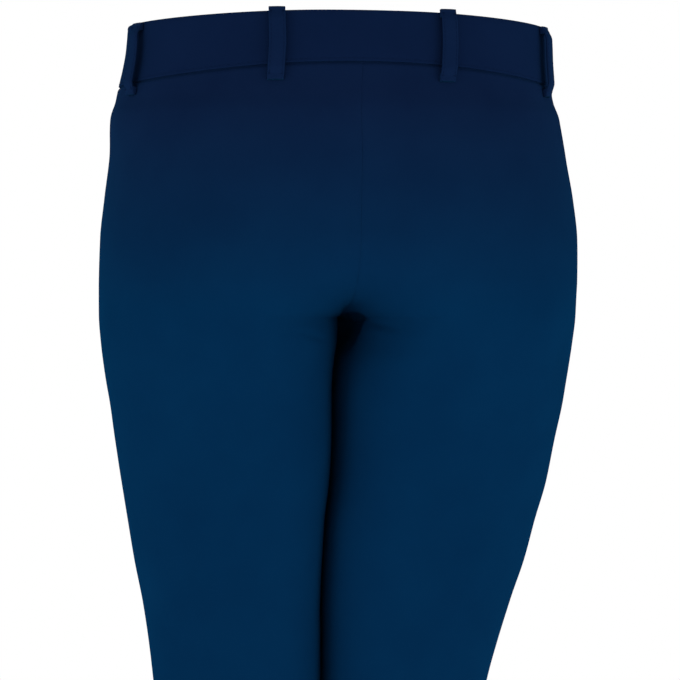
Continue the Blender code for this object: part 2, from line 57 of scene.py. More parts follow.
# ---- cloth and seams
CLOTH = 0.0015
HEM_CLOTH = 0.0027
HEM_DEPTH = 0.022
HEM_FADE = 0.004
BAND_CLOTH = 0.0024
SEAM_GAP = 0.0003
SEAM_CLEAR = 0.00003

# ---- heights
BAND_TOP_Z = 0.0205
WAIST_SEAM_Z = -0.0245
SEAT_Z = -0.130
CROTCH_Z = -0.196
THIGH_Z = -0.219
HEM_Z = -0.895
SIDE_SEAT_Z = -0.105
BACK_TOP_RISE = 0.0055
BACK_SEAM_RISE = 0.0125
FRONT_DROP = 0.0020

# ---- the garment's sections, as the solids have them
COLUMNS = (
    "z", "side", "centre", "back", "front", "side_y", "inner", "inner_y", "back_dip", "front_dip", "soft",
    "square",
)
SECTIONS = (
    (0.0350, 0.1580, 0.0280, 0.1020, -0.0975, 0.003, 0, -0.0200, 0, 0, 0.030, 2),
    (0.0225, 0.1586, 0.0300, 0.1055, -0.0985, 0.003, 0, -0.0200, 0, 0, 0.030, 2),
    (0.0000, 0.1600, 0.0320, 0.1118, -0.1000, 0.003, 0, -0.0200, 0, 0, 0.030, 2),
    (-0.0225, 0.1630, 0.0370, 0.1175, -0.1020, 0.003, 0, -0.0200, 0, 0, 0.030, 2),
    (-0.0350, 0.1651, 0.0410, 0.1213, -0.1032, 0.003, 0, -0.0200, 0, 0, 0.030, 2),
    (-0.0475, 0.1691, 0.0450, 0.1250, -0.1045, 0.003, 0, -0.0200, 0.0005, 0, 0.030, 2),
    (-0.0775, 0.1719, 0.0540, 0.1292, -0.1060, 0.004, 0, -0.0200, 0.0020, 0, 0.030, 2),
    (-0.1080, 0.1763, 0.0620, 0.1322, -0.1058, 0.004, 0, -0.0200, 0.0035, 0.0005, 0.030, 2),
    (-0.1380, 0.1794, 0.0700, 0.1332, -0.1038, 0.004, 0, -0.0200, 0.006, 0.001, 0.030, 2.05),
    (-0.1680, 0.1799, 0.0775, 0.1305, -0.1010, 0.003, 0, -0.0200, 0.008, 0.002, 0.022, 2.10),
    (-0.1830, 0.1796, 0.0807, 0.1266, -0.0997, 0.002, 0, -0.0200, 0.008, 0.002, 0.009, 2.15),
    (-0.1960, 0.1793, 0.0832, 0.1222, -0.0986, 0.002, 0, -0.0200, 0.008, 0.002, 0, 2.20),
    (-0.2120, 0.1779, 0.0855, 0.1155, -0.0978, 0.001, 0.0003, -0.0190, 0.008, 0.002, 0, 2.50),
    (-0.2350, 0.1749, 0.0870, 0.1055, -0.0970, 0.000, 0.0003, -0.0165, 0.008, 0.002, 0, 3.10),
    (-0.2580, 0.1712, 0.0856, 0.0985, -0.0958, -0.001, 0.0003, -0.0130, 0.008, 0.002, 0, 3.40),
    (-0.2885, 0.1658, 0.0829, 0.0920, -0.0935, -0.002, 0.0003, -0.0070, 0.008, 0.002, 0, 3.50),
    (-0.3190, 0.1605, 0.0802, 0.0868, -0.0908, -0.002, 0.0003, -0.0035, 0.008, 0.002, 0, 3.50),
    (-0.3490, 0.1538, 0.0769, 0.0820, -0.0876, -0.003, 0.0003, -0.0030, 0.008, 0.002, 0, 3.50),
    (-0.3790, 0.1472, 0.0736, 0.0770, -0.0842, -0.003, 0.0003, -0.0030, 0.008, 0.002, 0, 3.40),
    (-0.4090, 0.1390, 0.0696, 0.0720, -0.0802, -0.004, 0.0003, -0.0040, 0.008, 0.002, 0, 3.20),
    (-0.4390, 0.1320, 0.0661, 0.0670, -0.0760, -0.004, 0.0003, -0.0040, 0.008, 0.002, 0, 3.00),
    (-0.4670, 0.1264, 0.0634, 0.0628, -0.0723, -0.004, 0.0003, -0.0040, 0.008, 0.002, 0, 2.80),
    (-0.5000, 0.1215, 0.0610, 0.0588, -0.0685, -0.004, 0.0003, -0.0040, 0.008, 0.002, 0, 2.60),
    (-0.5350, 0.1182, 0.0596, 0.0575, -0.0645, -0.002, 0.0006, -0.0020, 0.008, 0.002, 0, 2.45),
    (-0.5750, 0.1163, 0.0594, 0.0635, -0.0575, 0.004, 0.0022, 0.0040, 0.008, 0.002, 0, 2.30),
    (-0.6200, 0.1156, 0.0593, 0.0740, -0.0495, 0.012, 0.0030, 0.0120, 0.008, 0.002, 0, 2.15),
    (-0.6600, 0.1138, 0.0587, 0.0775, -0.0440, 0.016, 0.0036, 0.0160, 0.008, 0.002, 0, 2.05),
    (-0.7100, 0.1075, 0.0565, 0.0740, -0.0370, 0.018, 0.0055, 0.0180, 0.008, 0.002, 0, 2),
    (-0.7600, 0.0992, 0.0539, 0.0655, -0.0315, 0.017, 0.0085, 0.0170, 0.008, 0.002, 0, 2),
    (-0.8100, 0.0926, 0.0519, 0.0565, -0.0270, 0.015, 0.0112, 0.0150, 0.008, 0.002, 0, 2),
    (-0.8550, 0.0890, 0.0509, 0.0512, -0.0245, 0.0135, 0.0128, 0.0135, 0.008, 0.002, 0, 2),
    (-0.8950, 0.0880, 0.0505, 0.0500, -0.0240, 0.013, 0.0130, 0.0130, 0.008, 0.002, 0, 2),
)
STANCE_COLUMNS = ("z", "lean", "inward", "swell", "turn")
STANCE = (
    (0.0350, -0.0024, 0, 0, 2.6),
    (0.0050, -0.0019, 0, 0, 2.6),
    (-0.0115, -0.0009, 0, 0, 2.4),
    (-0.0318, 0.0004, 0, 0, 2.0),
    (-0.0475, 0.0001, 0, 0, 1.5),
    (-0.0777, -0.0018, 0, 0, 0.7),
    (-0.1200, -0.0025, 0, 0, 0),
    (-0.1680, -0.0021, 0, 0, 0),
    (-0.2000, -0.0016, 0, 0.0010, 0),
    (-0.2130, -0.0015, 0.0010, 0.0018, 0),
    (-0.2280, -0.0014, 0.0042, 0.0018, 0),
    (-0.2430, -0.0014, 0.0062, 0.0018, 0),
    (-0.2584, -0.0016, 0.0070, 0.0018, 0),
    (-0.2885, -0.0006, 0.0063, 0.0018, 0),
    (-0.3186, 0.0000, 0.0075, 0.0018, 0),
    (-0.3487, 0.0018, 0.0092, 0.0018, 0),
    (-0.3789, 0.0034, 0.0091, 0.0018, 0),
    (-0.4090, 0.0055, 0.0077, 0.0018, 0),
    (-0.4390, 0.0079, 0.0050, 0.0018, 0),
    (-0.4670, 0.0102, 0.0028, 0.0020, 0),
    (-0.6000, 0.0180, 0, 0, 0),
    (-0.7500, 0.0245, 0, 0, 0),
    (-0.8950, 0.0295, 0, 0, 0),
)
SWELL_WIDTH = 0.018
CROTCH_CURVE = {"back": 2.6, "front": 2.2}
INWARD = {"back": -1, "front": 1}
FLATTEST = 0.9999
INNER_POINTS = 72
OUTER_POINTS = 56
PROBE = 0.0004
CHUNK = 4000

# ---- how near the centre front the cloth's direction is read, as a share of the way to the side seam
CENTRE_SHARE = 0.001

# ---- how finely the panels' shells are cut
SEAT_ROWS = 62
SEAT_ROW_EASE = 1.4
CROTCH_ROWS = 44
LEG_ROWS = 205
LEG_ROW_EASE = 1.25
HEM_OFFSETS = (0.0006, 0.0014, 0.0026, 0.0185, 0.0193, 0.0200, 0.0207, 0.0215, 0.0225)
EDGE_OFFSETS = (0.0, 0.00035, 0.0008, 0.0014, 0.0022, 0.0032, 0.0045, 0.0065)
MIDDLE_COLUMNS = 72

# ---- the fly's lap; the wearer's right side laps over the left
FLY_LAP = 0.0060
FLY_END_Z = -0.150
FLY_FADE = 0.014
FLY_FLAT = 0.012
FLY_BLEND = 0.030
FLY_SETTLE = 0.028
FLY_LIFT = CLOTH + 2 * SEAM_GAP
LAP_ROLL = 0.0004
LAP_ROLL_WIDTH = 0.0006

# ---- the zip; a tooth's start, middle and end each have a distance from the centre and a depth past the
# ---- zip's, and the slider and its tab a half-width, a top and a bottom under the zip's top, a depth past the
# ---- zip's and a thickness
ZIP_WIDTH = 0.022
ZIP_DEPTH = CLOTH + 1.5 * SEAM_GAP
ZIP_TOP_Z = -0.0276
ZIP_END_Z = -0.142
TAPE_CLOTH = 0.0006
TAPE_IN = 0.0009
TAPE_ROWS = 70
TAPE_COLUMNS = 10
TEETH_UNDER_TOP = 0.004
TEETH_OVER_END = 0.003
TOOTH_PITCH = 0.00155
TOOTH_THICK = 0.00038
TOOTH_PLACES = ((0.0021, 0.00035), (0.0008, -0.0001), (-0.0009, 0.0003))
SLIDER_PARTS = (
    ("zip_slider", 0.0026, 0.0012, 0.0085, -0.0003, 0.0014),
    ("zip_tab", 0.0019, 0.0065, 0.0215, 0.0017, 0.0006),
)
SLIDER_TAPER = 0.9
SLIDER_BEVEL = 0.0003

# ---- the waistband: half its way round; how far its ends reach past the centre front and where the over end
# ---- lifts off the under one, in shares of that; how its shell is cut; and the height and turns of its
# ---- faint unevenness
HALF_WAIST = 0.415
BAND_UNDER = 0.083
BAND_OVER = 0.0145
BAND_LIFT_START = 1.830
BAND_LIFT_END = 1.905
BAND_LIFT = BAND_CLOTH + SEAM_GAP
BAND_COLUMNS = 520
BAND_END_OFFSETS = (0.0002, 0.0005, 0.0009, 0.0014)
BAND_EDGE = (0.0, 0.0002, 0.0005, 0.0009, 0.0014, 0.0021, 0.0030)
BAND_MIDDLE = 16
BAND_LOW_ROUND = 0.2 * BAND_CLOTH
BAND_WAVE = 0.00016
BAND_WAVE_TURNS = (14 * math.pi, 3, 5.3)
INSIDE_ROUND = 0.98

# ---- belt loops
LOOP_WIDTH = 0.0120
LOOP_CLOTH = 0.0016
LOOP_FOLD = 0.0034
LOOP_TACK = 0.105
LOOP_RISE = 0.19
LOOP_CROWN = 0.00025
LOOP_END_ROUND = 0.0004
LOOP_STATIONS = 96
LOOP_END_STATIONS = (0.002, 0.005, 0.009)
LOOP_TACK_EDGE = 0.002
LOOP_ACROSS = (0.0, 0.02, 0.055, 0.11, 0.17, 0.26, 0.38, 0.5, 0.62, 0.74, 0.83, 0.89, 0.945, 0.98, 1.0)
LOOP_COLUMN_NAMES = ("distance", "skew", "sweep", "above", "below", "stand")
LOOPS = {
    "back": (0.0628, 0.0000, 0.0000, 0.0015, 0.0125, 0.0052),
    "side": (0.0385, 0.0090, 0.0120, -0.0010, 0.0100, 0.0066),
    "front": (0.0830, 0.0000, 0.0000, 0.0015, 0.0125, 0.0052),
}

# ---- how deep the cloth rolls in at its seams, and over what width; at the tight heights under the crotch
# ---- the inseam's roll turns outward, which closes the slit between the thighs
SEAM_ROLL = 0.00045
SEAM_ROLL_WIDTH = 0.0016
TIGHT_SHARE = 1.45
TIGHT_HEIGHTS = (-0.2300, -0.2180, -0.1965, -0.1900)
WAIST_ROLL = 0.0017
WAIST_ROLL_WIDTH = 0.0017
HEM_ROLL = 0.0005
HEM_ROLL_WIDTH = 0.0010

# ---- how far from the waist seam, the other seams and the hem the creases reach their full depth, and the
# ---- share of them that the inside has
CALM_WAIST = 0.02
CALM_SEAM = 0.012
CALM_HEM = 0.03
INSIDE_CREASE = 0.7

# ---- creases of each half and side: along is from the side seam to the crease's middle, reach its
# ---- half-length, deep and wide its trough, tilt its slope in degrees, up to the side, bow its ends' drop,
# ---- and RIDGE how much the cloth beside it stands up; then the cloth's own faint unevenness, in each row a
# ---- height and two crossing waves: how fast each turns up and along, and its share of the phase
CREASE_COLUMNS = ("z", "along", "reach", "deep", "wide", "tilt", "bow")
CREASES = {
    ("back", 1): (
        (-0.2105, 0.228, 0.024, 0.00110, 0.0034, 9, 0.001),
        (-0.2240, 0.190, 0.044, 0.00045, 0.0085, 7, 0.004),
        (-0.1780, 0.224, 0.026, 0.00030, 0.0055, -9, 0.003),
        (-0.4890, 0.104, 0.046, 0.00080, 0.0070, 6, 0.004),
        (-0.5070, 0.092, 0.056, 0.00140, 0.0075, -4, 0.005),
        (-0.5270, 0.108, 0.040, 0.00095, 0.0060, 8, 0.003),
        (-0.5430, 0.084, 0.046, 0.00070, 0.0070, -7, 0.004),
        (-0.8010, 0.072, 0.036, 0.00070, 0.0060, 8, 0.003),
        (-0.8230, 0.058, 0.042, 0.00115, 0.0060, -6, 0.003),
        (-0.8440, 0.068, 0.034, 0.00075, 0.0050, 4, 0.002),
    ),
    ("back", -1): (
        (-0.2020, 0.246, 0.028, 0.00150, 0.0034, -9, 0.001),
        (-0.2180, 0.196, 0.040, 0.00040, 0.0080, 4, 0.005),
        (-0.1700, 0.222, 0.024, 0.00025, 0.0050, 8, 0.002),
        (-0.4850, 0.090, 0.042, 0.00075, 0.0065, -6, 0.003),
        (-0.5020, 0.102, 0.054, 0.00130, 0.0080, 4, 0.005),
        (-0.5210, 0.080, 0.040, 0.00100, 0.0065, -8, 0.003),
        (-0.5390, 0.098, 0.048, 0.00080, 0.0070, 5, 0.004),
        (-0.7960, 0.058, 0.038, 0.00080, 0.0060, -7, 0.003),
        (-0.8190, 0.070, 0.040, 0.00105, 0.0060, 5, 0.003),
        (-0.8400, 0.054, 0.034, 0.00080, 0.0050, -3, 0.002),
    ),
    ("front", 1): (
        (-0.1740, 0.186, 0.040, 0.00085, 0.0055, 29, 0.002),
        (-0.1920, 0.196, 0.046, 0.00115, 0.0058, 15, 0.002),
        (-0.2110, 0.200, 0.042, 0.00085, 0.0068, 2, 0.003),
        (-0.2400, 0.176, 0.044, 0.00040, 0.0090, -6, 0.004),
        (-0.4600, 0.104, 0.044, 0.00050, 0.0080, -7, -0.004),
        (-0.5450, 0.090, 0.046, 0.00075, 0.0075, 6, -0.005),
        (-0.5660, 0.102, 0.038, 0.00060, 0.0065, -5, -0.004),
        (-0.8120, 0.066, 0.036, 0.00070, 0.0060, -9, -0.002),
        (-0.8360, 0.054, 0.036, 0.00095, 0.0055, 5, -0.002),
    ),
    ("front", -1): (
        (-0.1700, 0.180, 0.042, 0.00095, 0.0060, 32, 0.002),
        (-0.1890, 0.200, 0.042, 0.00105, 0.0055, 17, 0.002),
        (-0.2070, 0.194, 0.046, 0.00090, 0.0070, 4, 0.003),
        (-0.2350, 0.182, 0.040, 0.00045, 0.0085, -4, 0.004),
        (-0.4660, 0.096, 0.040, 0.00055, 0.0080, 8, -0.004),
        (-0.5390, 0.104, 0.048, 0.00070, 0.0080, -5, -0.005),
        (-0.5600, 0.088, 0.036, 0.00065, 0.0065, 7, -0.004),
        (-0.8070, 0.056, 0.034, 0.00070, 0.0060, 7, -0.002),
        (-0.8310, 0.066, 0.038, 0.00090, 0.0055, -5, -0.002),
    ),
}
RIDGE = 0.9
UNEVEN_PHASE = {"back": 0.0, "front": 2.1}
UNEVEN = (
    (0.00016, (38, 21, 1), (-11, 27, 2)),
    (0.00005, (96, -61, 3), (40, 74, 0)),
)

# ---- the hollow under the crotch: how far the seam's arch is raised and how widely, and how deep the right
# ---- thigh's cloth sinks beside the left thigh, from its edge, measured from the side seam, inward
ARCH_DEEP = 0.0016
ARCH_WIDTH = 0.010
ARCH_HEIGHTS = (-0.1960, -0.1948, -0.1910, -0.1830)
POCKET_DEEP = 0.0080
POCKET_EDGE = 0.270
POCKET_SOFT = 0.010
POCKET_CLEAR = 0.020
POCKET_HEIGHTS = (-0.2250, -0.2080, -0.1975, -0.1925)

# ---- stitching: thread, stitch length, the space between two, and how far a stitch stands up
THREAD = 0.00022
STITCH = 0.0028
STITCH_SPACE = 0.0007
STITCH_SIDES = 6
STITCH_RINGS = 6
STITCH_TAPER = 0.45
STITCH_SINK = 0.00012
STITCH_RISE = 0.00018

# ---- rows of stitching: how far in from an edge they lie, how far they sink, the dips under them, and how
# ---- many points they are drawn along
HEM_STITCH_UP = 0.0200
TWIN_NEEDLE = 0.0026
HEM_STITCH_DIP = 0.00018
HEM_STITCH_WIDTH = 0.0009
BAND_STITCH = 0.0020
BAND_END_IN = 0.005
BAND_STITCH_SINK = 0.00013
BAND_END_SINK = 0.0001
BAND_ROW_POINTS = 900
BAND_END_POINTS = 30
BAND_DIP = 0.00014
BAND_DIP_WIDTH = 0.0008
LOOP_STITCH_IN = 0.0016
LOOP_STITCH_SINK = 0.00002
LOOP_ROW_END = 0.03
LOOP_ROW_POINTS = 60
LOOP_DIP = 0.00012
LOOP_DIP_WIDTH = 0.0007
FLY_STITCH = 0.034
FLY_STITCH_TOP = 0.003
FLY_STITCH_EDGE = 0.004
FLY_CURVE = 0.040
FLY_ROWS = (0.0, 0.0058)
FLY_ROW_POINTS = 60
FLY_TURN_POINTS = 40

# ---- bartacks; those on the fly have a place, a height, a length and a count of stitches each
BARTACK_THREAD = THREAD * 0.9
LOOP_BARTACK_IN = 0.0034
BARTACK_STITCHES = 26
BARTACK_TALL = 0.0017
BARTACK_REACH = 0.43
BARTACK_DIP_REACH = 0.46
BARTACK_DIP_WIDTH = 0.0014
BARTACK_SINK = 0.00035
BARTACK_RISE = 0.00025
FLY_BARTACKS = ((0.0035, FLY_END_Z + 0.004, 0.007, 12), (FLY_STITCH - 0.003, -0.108, 0.008, 14))
FLY_TACK_WIDTH = 0.0011
TACK_SINK = 0.00025
TACK_RISE = 0.0004

# ---- the button's thread and the buttonhole
BUTTON_THICK = 0.0030
BUTTON_X = -0.0065
BUTTON_HOLE_SPREAD = 0.0018
BUTTON_STRANDS = (-0.00035, -0.0001, 0.00015, 0.0004)
BUTTON_FACE = SEAM_GAP + 0.6 * BUTTON_THICK
BUTTON_THREAD = THREAD * 1.2
BUTTON_THREAD_SINK = 0.0008
BUTTON_THREAD_RISE = 0.0012
HOLE_THREAD = THREAD * 0.8
HOLE_PAST_BUTTON = 0.0022
HOLE_LENGTH = 0.019
HOLE_REACH = 0.0013
HOLE_INNER = 0.15
HOLE_MIDDLE = 0.6
HOLE_STITCHES = 40
HOLE_END_STITCHES = 7
HOLE_END_WIDTH = 0.0006
HOLE_SINK = 0.0003

# ---- woven finishes: the weave's, fuzz's and cloud's shares of the tone, the ribs and the finer yarns; each
# ---- row has a dark and a light colour at the waist and below the seat, the ribs' pitch and angle, the
# ---- relief's depth, roughness, specular and sheen; the cloth's fade with height is painted shade and light
SHEEN_TINT = (0.02, 0.45, 0.85, 1)
SHEEN_ROUGHNESS = 0.45
PAINTED_SHADE_HEIGHTS = (-0.035, -0.190)
TONE_RANGE = (0.3, 0.85)
TONE_SHARES = (0.45, 0.2, 0.5)
RIB_SCALE = 0.314159
RIB_UNEVEN = 0.7
RIB_SHARE = 0.62
YARN_PITCH = 0.62
YARN_TURN = 76
YARN_UNEVEN = 0.5
YARN_PHASE = 1.7
WEAVE_BUMP = 0.55
WEAVE_ROUGHNESS = 0.06
FUZZ_BUMP = 0.35
FUZZ_SIZE = 0.0006
CLOUD_SIZE = 0.055
# the cloth's colours: at the waist darkened as painted shade, below the seat lightened as painted light
SHADED_WAIST_TONES = ((0.0036, 0.0113, 0.0420), (0.0052, 0.0168, 0.0560))
LIT_LEG_TONES = ((0.0008, 0.0198, 0.0635), (0.0012, 0.0285, 0.0840))
# the band's and loops' colours carry the waist's painted shade; the loops' are a little lighter again, as
# painted light on their faces
SHADED_BAND_TONES = ((0.0034, 0.0110, 0.0410), (0.0050, 0.0158, 0.0550))
LOOP_SHADE_AND_LIGHT_TONES = ((0.0036, 0.0120, 0.0440), (0.0056, 0.0180, 0.0600))
TAPE_TONES = ((0.0030, 0.0110, 0.0320), (0.0050, 0.0180, 0.0480))
WOVEN = (
    ("cloth", "stretch_twill", SHADED_WAIST_TONES, LIT_LEG_TONES, 0.00062, 27, 0.00016, 0.82, 0.0, 0.03),
    ("band", "band_twill", SHADED_BAND_TONES, SHADED_BAND_TONES, 0.00062, 117, 0.00016, 0.84, 0.0, 0.03),
    ("loop", "loop_twill", LOOP_SHADE_AND_LIGHT_TONES, LOOP_SHADE_AND_LIGHT_TONES, 0.00062, 27, 0.00016, 0.82, 0.0, 0.04),
    ("tape", "zip_tape", TAPE_TONES, TAPE_TONES, 0.00110, 45, 0.00020, 0.80, 0.10, 0.03),
)

# ---- smooth finishes: a dark and a light colour, the grain's size, the relief's depth, roughness and
# ---- specular
GRAIN_RANGE = (0.3, 0.7)
GRAIN_BUMP = 0.5
GRAIN_ROUGHNESS = 0.08
GRAINS_PER_CLOUD = 6
# one thread in two copies: the upper one darkened as painted shade, the hems' one lightened as painted light
SHADED_THREAD_TONES = ((0.0034, 0.0110, 0.0400), (0.0052, 0.0165, 0.0560))
LIT_HEM_THREAD_TONES = ((0.0010, 0.0190, 0.0610), (0.0016, 0.0280, 0.0820))
TEETH_TONES = ((0.0040, 0.0120, 0.0320), (0.0060, 0.0170, 0.0420))
SLIDER_TONES = ((0.0050, 0.0110, 0.0260), (0.0080, 0.0160, 0.0340))
BUTTON_TONES = ((0.0040, 0.0110, 0.0280), (0.0075, 0.0180, 0.0420))
SMOOTH = (
    ("thread", "thread", SHADED_THREAD_TONES, 0.00025, 0.00005, 0.85, 0.0),
    ("hem_thread", "hem_thread", LIT_HEM_THREAD_TONES, 0.00025, 0.00005, 0.85, 0.0),
    ("teeth", "nylon_teeth", TEETH_TONES, 0.0003, 0.00003, 0.35, 0.4),
    ("slider", "enamelled_slider", SLIDER_TONES, 0.0004, 0.00003, 0.28, 0.5),
    ("button", "button_plastic", BUTTON_TONES, 0.0006, 0.00004, 0.46, 0.25),
)

# ---- camera: how far off, which way round, and the scale at that distance
CAMERA_AZIMUTH = 172.5
CAMERA_DISTANCE = 2.6
CAMERA_LENS = 182.8
CAMERA_SENSOR = 36.0
LOOK_AT_Z = -0.2132
LOOK_AT_RIGHT = 0.00376
CAMERA_REACH = 50

# ---- the room: the floor, the tones from eye level to overhead, and the soft lights, each with its azimuth,
# ---- distance, height, width, tallness, watts, colour and the height it is aimed at
FLOOR_Z = -0.985
FLOOR_RADIUS = 3.6
FLOOR_SIDES = 96
FLOOR_GLOW = 0.45
FLOOR_FINISH = (0.75, 0.2)
FLOOR_CLOUD = 0.4
FLOOR_TONES = ((0.80, 0.80, 0.81), (0.86, 0.86, 0.86))
ROOM_TONES = ((0.56, (1.0, 1.0, 1.0)), (0.80, (0.34, 0.30, 0.36)))
LIGHTS = (
    ("softbox_left", 122, 1.9, -0.55, 0.9, 0.8, 5.2, (0.93, 0.98, 1.0), -0.45),
    ("softbox_right", 232, 1.9, -0.55, 0.9, 0.8, 6.0, (0.93, 0.98, 1.0), -0.45),
    ("softbox_front", 12, 2.2, 0.3, 0.9, 0.9, 24.0, (1.0, 0.98, 0.96), -0.4),
)


def ease(t):
    """0 to 1 along a soft step."""
    t = np.clip(t, 0.0, 1.0)
    return t * t * (3 - 2 * t)


def between(z, heights):
    """0 below the first height, 1 from the second to the third, and 0 again above the fourth."""
    start, full, leave, end = heights
    return ease((z - start) / (full - start)) * ease((end - z) / (end - leave))


def trough(distance, width):
    return np.exp(-((distance / width) ** 2))


def rounded(distance, radius):
    """How far in a rounded edge lies, this far from its end."""
    return radius * (1 - np.sqrt(np.maximum(1 - (1 - np.clip(distance / radius, 0, 1)) ** 2, 0)))


def unit(vectors):
    return vectors / np.linalg.norm(vectors, axis=-1, keepdims=True)


def mirrored(points):
    return points * (-1, 1, 1)


def sided(name, side):
    """A piece's name with its side; side is 1 for the left and -1 for the right."""
    return name + ("_left" if side > 0 else "_right")


# ------------------------------------------------------------------ the garment's form

def curves_of(table, names):
    """For each column its heights, its values, and the slopes of a smooth curve that never overshoots."""
    rows = np.array(sorted(table))
    heights, found = rows[:, 0], {}
    for name, values in zip(names[1:], rows.T[1:]):
        rises = np.diff(values) / np.diff(heights)
        slopes = np.concatenate([rises[:1], np.zeros(len(rises) - 1), rises[-1:]])
        for row, (below, above) in enumerate(zip(rises, rises[1:]), 1):
            if below * above > 0:
                slopes[row] = 2 * below * above / (below + above)
        found[name] = (heights, values, slopes)
    return found


BODY = curves_of(SECTIONS, COLUMNS)
POSE = curves_of(STANCE, STANCE_COLUMNS)


def at(curves, name, z):
    """The named column at each height."""
    heights, values, slopes = curves[name]
    z = np.clip(z, heights[0], heights[-1])
    row = np.clip(np.searchsorted(heights, z, side="right") - 1, 0, len(heights) - 2)
    step = heights[row + 1] - heights[row]
    t = (z - heights[row]) / step
    start = (1 + 2 * t) * (1 - t) ** 2 * values[row] + t * (1 - t) ** 2 * step * slopes[row]
    end = t * t * (3 - 2 * t) * values[row + 1] + t * t * (t - 1) * step * slopes[row + 1]
    return start + end


def centre_seam_y(half, z):
    """The centre seam's y: near upright down to the seat, then curving under to the crotch."""
    upper = np.maximum(z, SEAT_Z)
    start = at(BODY, half, upper) + INWARD[half] * at(BODY, half + "_dip", upper)
    low = at(BODY, "inner_y", CROTCH_Z)
    share = np.clip((SEAT_Z - z) / (SEAT_Z - CROTCH_Z), 0.0, 1.0)
    power = CROTCH_CURVE[half]
    return low + (start - low) * (1 - share**power) ** (1 / power)


def section(half, z):
    """For each height a quarter's outline, from its centre seam or inseam to its side seam."""
    z = np.asarray(z)[:, None]
    inner_y = at(BODY, "inner_y", z)
    reach = at(BODY, half, z) - inner_y
    seam = np.where(z > CROTCH_Z, centre_seam_y(half, z) - inner_y, 0.0)
    inner = at(BODY, "inner", z)
    centre = at(BODY, "centre", z)
    width = centre - inner
    power = at(BODY, "square", z)
    start_y = np.minimum(seam / reach, FLATTEST)
    start_x = (1 - start_y**power) ** (1 / power)
    turn = np.arctan2(start_x, start_y) * (1 - np.linspace(0, 1, INNER_POINTS) ** 2)
    size = (np.sin(turn) ** power + np.cos(turn) ** power) ** (-1 / power)
    across = width * np.maximum(1 - size * np.sin(turn) / start_x, 0)
    soft = at(BODY, "soft", z)
    squeeze = (np.hypot(width, soft) - soft) / width
    across = np.sqrt(np.maximum((across * squeeze + soft) ** 2 - soft**2, 0))
    inside = np.stack([inner + across, inner_y + reach * size * np.cos(turn)], axis=-1)
    side_y = at(BODY, "side_y", z)
    turn = np.linspace(0, math.pi / 2, OUTER_POINTS)[1:]
    x = centre + (at(BODY, "side", z) - centre) * np.sin(turn)
    y = side_y + (at(BODY, half, z) - side_y) * np.cos(turn)
    return np.concatenate([inside, np.stack([x, y], axis=-1)], axis=1)


def lengths_along(outlines):
    """How far along its outline each point lies."""
    steps = np.linalg.norm(np.diff(outlines, axis=1), axis=2)
    return np.concatenate([np.zeros((len(outlines), 1)), np.cumsum(steps, axis=1)], axis=1)


def walk(outlines, distances):
    """The point this far along each outline."""
    along = lengths_along(outlines)
    rows = np.arange(len(outlines))
    index = np.clip((along < distances[:, None]).sum(axis=1) - 1, 0, along.shape[1] - 2)
    start, end = along[rows, index], along[rows, index + 1]
    t = np.clip((distances - start) / (end - start), 0, 1)[:, None]
    return outlines[rows, index] * (1 - t) + outlines[rows, index + 1] * t


def in_chunks(work, *arrays):
    """work done on flat arrays a few thousand at a time, and joined in the arrays' own shape."""
    arrays = np.broadcast_arrays(*arrays)
    shape = arrays[0].shape
    flat = [array.reshape(-1) for array in arrays]
    parts = [work(*[array[low : low + CHUNK] for array in flat]) for low in range(0, flat[0].size, CHUNK)]
    joined = np.concatenate(parts)
    return joined.reshape(shape + joined.shape[1:])


def quarter_length(half, z):
    """From the centre seam or inseam to the side seam, along the cloth."""
    return in_chunks(lambda heights: lengths_along(section(half, heights))[:, -1], np.asarray(z, float))


def panel_point(half, distance, z):
    """The point this far from the centre seam or inseam, and past the seam where it is negative."""

    def work(far, heights):
        spot = walk(section(half, heights), np.abs(far))
        return np.column_stack([np.where(far < 0, -spot[:, 0], spot[:, 0]), spot[:, 1], heights])

    return in_chunks(work, distance, z)


def panel_normal(half, share, z):
    """A panel's outward normal at a share of the way to the side seam."""
    length = quarter_length(half, z)
    step = PROBE / length
    low, high = np.maximum(share - step, 0.0), np.minimum(share + step, 1.0)
    along = panel_point(half, high * length, z) - panel_point(half, low * length, z)
    higher = share * quarter_length(half, z + PROBE)
    lower = share * quarter_length(half, z - PROBE)
    upward = panel_point(half, higher, z + PROBE) - panel_point(half, lower, z - PROBE)
    return unit(np.cross(along, upward) * INWARD[half])


def ring_length(z):
    """Half of the way round the garment above the crotch."""
    return quarter_length("front", z) + quarter_length("back", z)


def ring_point(around, z):
    """The point on the whole ring: 0 is the centre front, 1 the centre back by the left, 2 the front."""

    def work(place, heights):
        folded = np.where(place > 2, place - 2, np.where(place > 1, 2 - place, np.abs(place)))
        left = ((place >= 0) & (place <= 1)) | (place > 2)
        outline = np.concatenate([section("front", heights), section("back", heights)[:, -2::-1]], axis=1)
        spot = walk(outline, folded * lengths_along(outline)[:, -1])
        return np.column_stack([np.where(left, spot[:, 0], -spot[:, 0]), spot[:, 1], heights])

    return in_chunks(work, around, z)


def ring_normal(around, z):
    """The ring's outward normal, with the slope of the cloth in it."""
    share = PROBE / ring_length(z)
    along = ring_point(around + share, z) - ring_point(around - share, z)
    upward = ring_point(around, z + PROBE) - ring_point(around, z - PROBE)
    return unit(np.cross(along, upward))


def bend(points):
    """Points as the wearer's stance moves them."""
    angle = np.radians(at(POSE, "turn", points[..., 2]))
    x = points[..., 0] * np.cos(angle) - points[..., 1] * np.sin(angle)
    y = points[..., 0] * np.sin(angle) + points[..., 1] * np.cos(angle)
    z = points[..., 2]
    from_inseam = y - at(BODY, "inner_y", z)
    inward = at(POSE, "inward", z) - at(POSE, "swell", z) * trough(from_inseam, SWELL_WIDTH)
    inward *= np.maximum(1 - (x / at(BODY, "side", z)) ** 2, 0.0)
    return np.stack([x + inward + at(POSE, "lean", z), y, z], axis=-1)


# ------------------------------------------------------------------ meshes

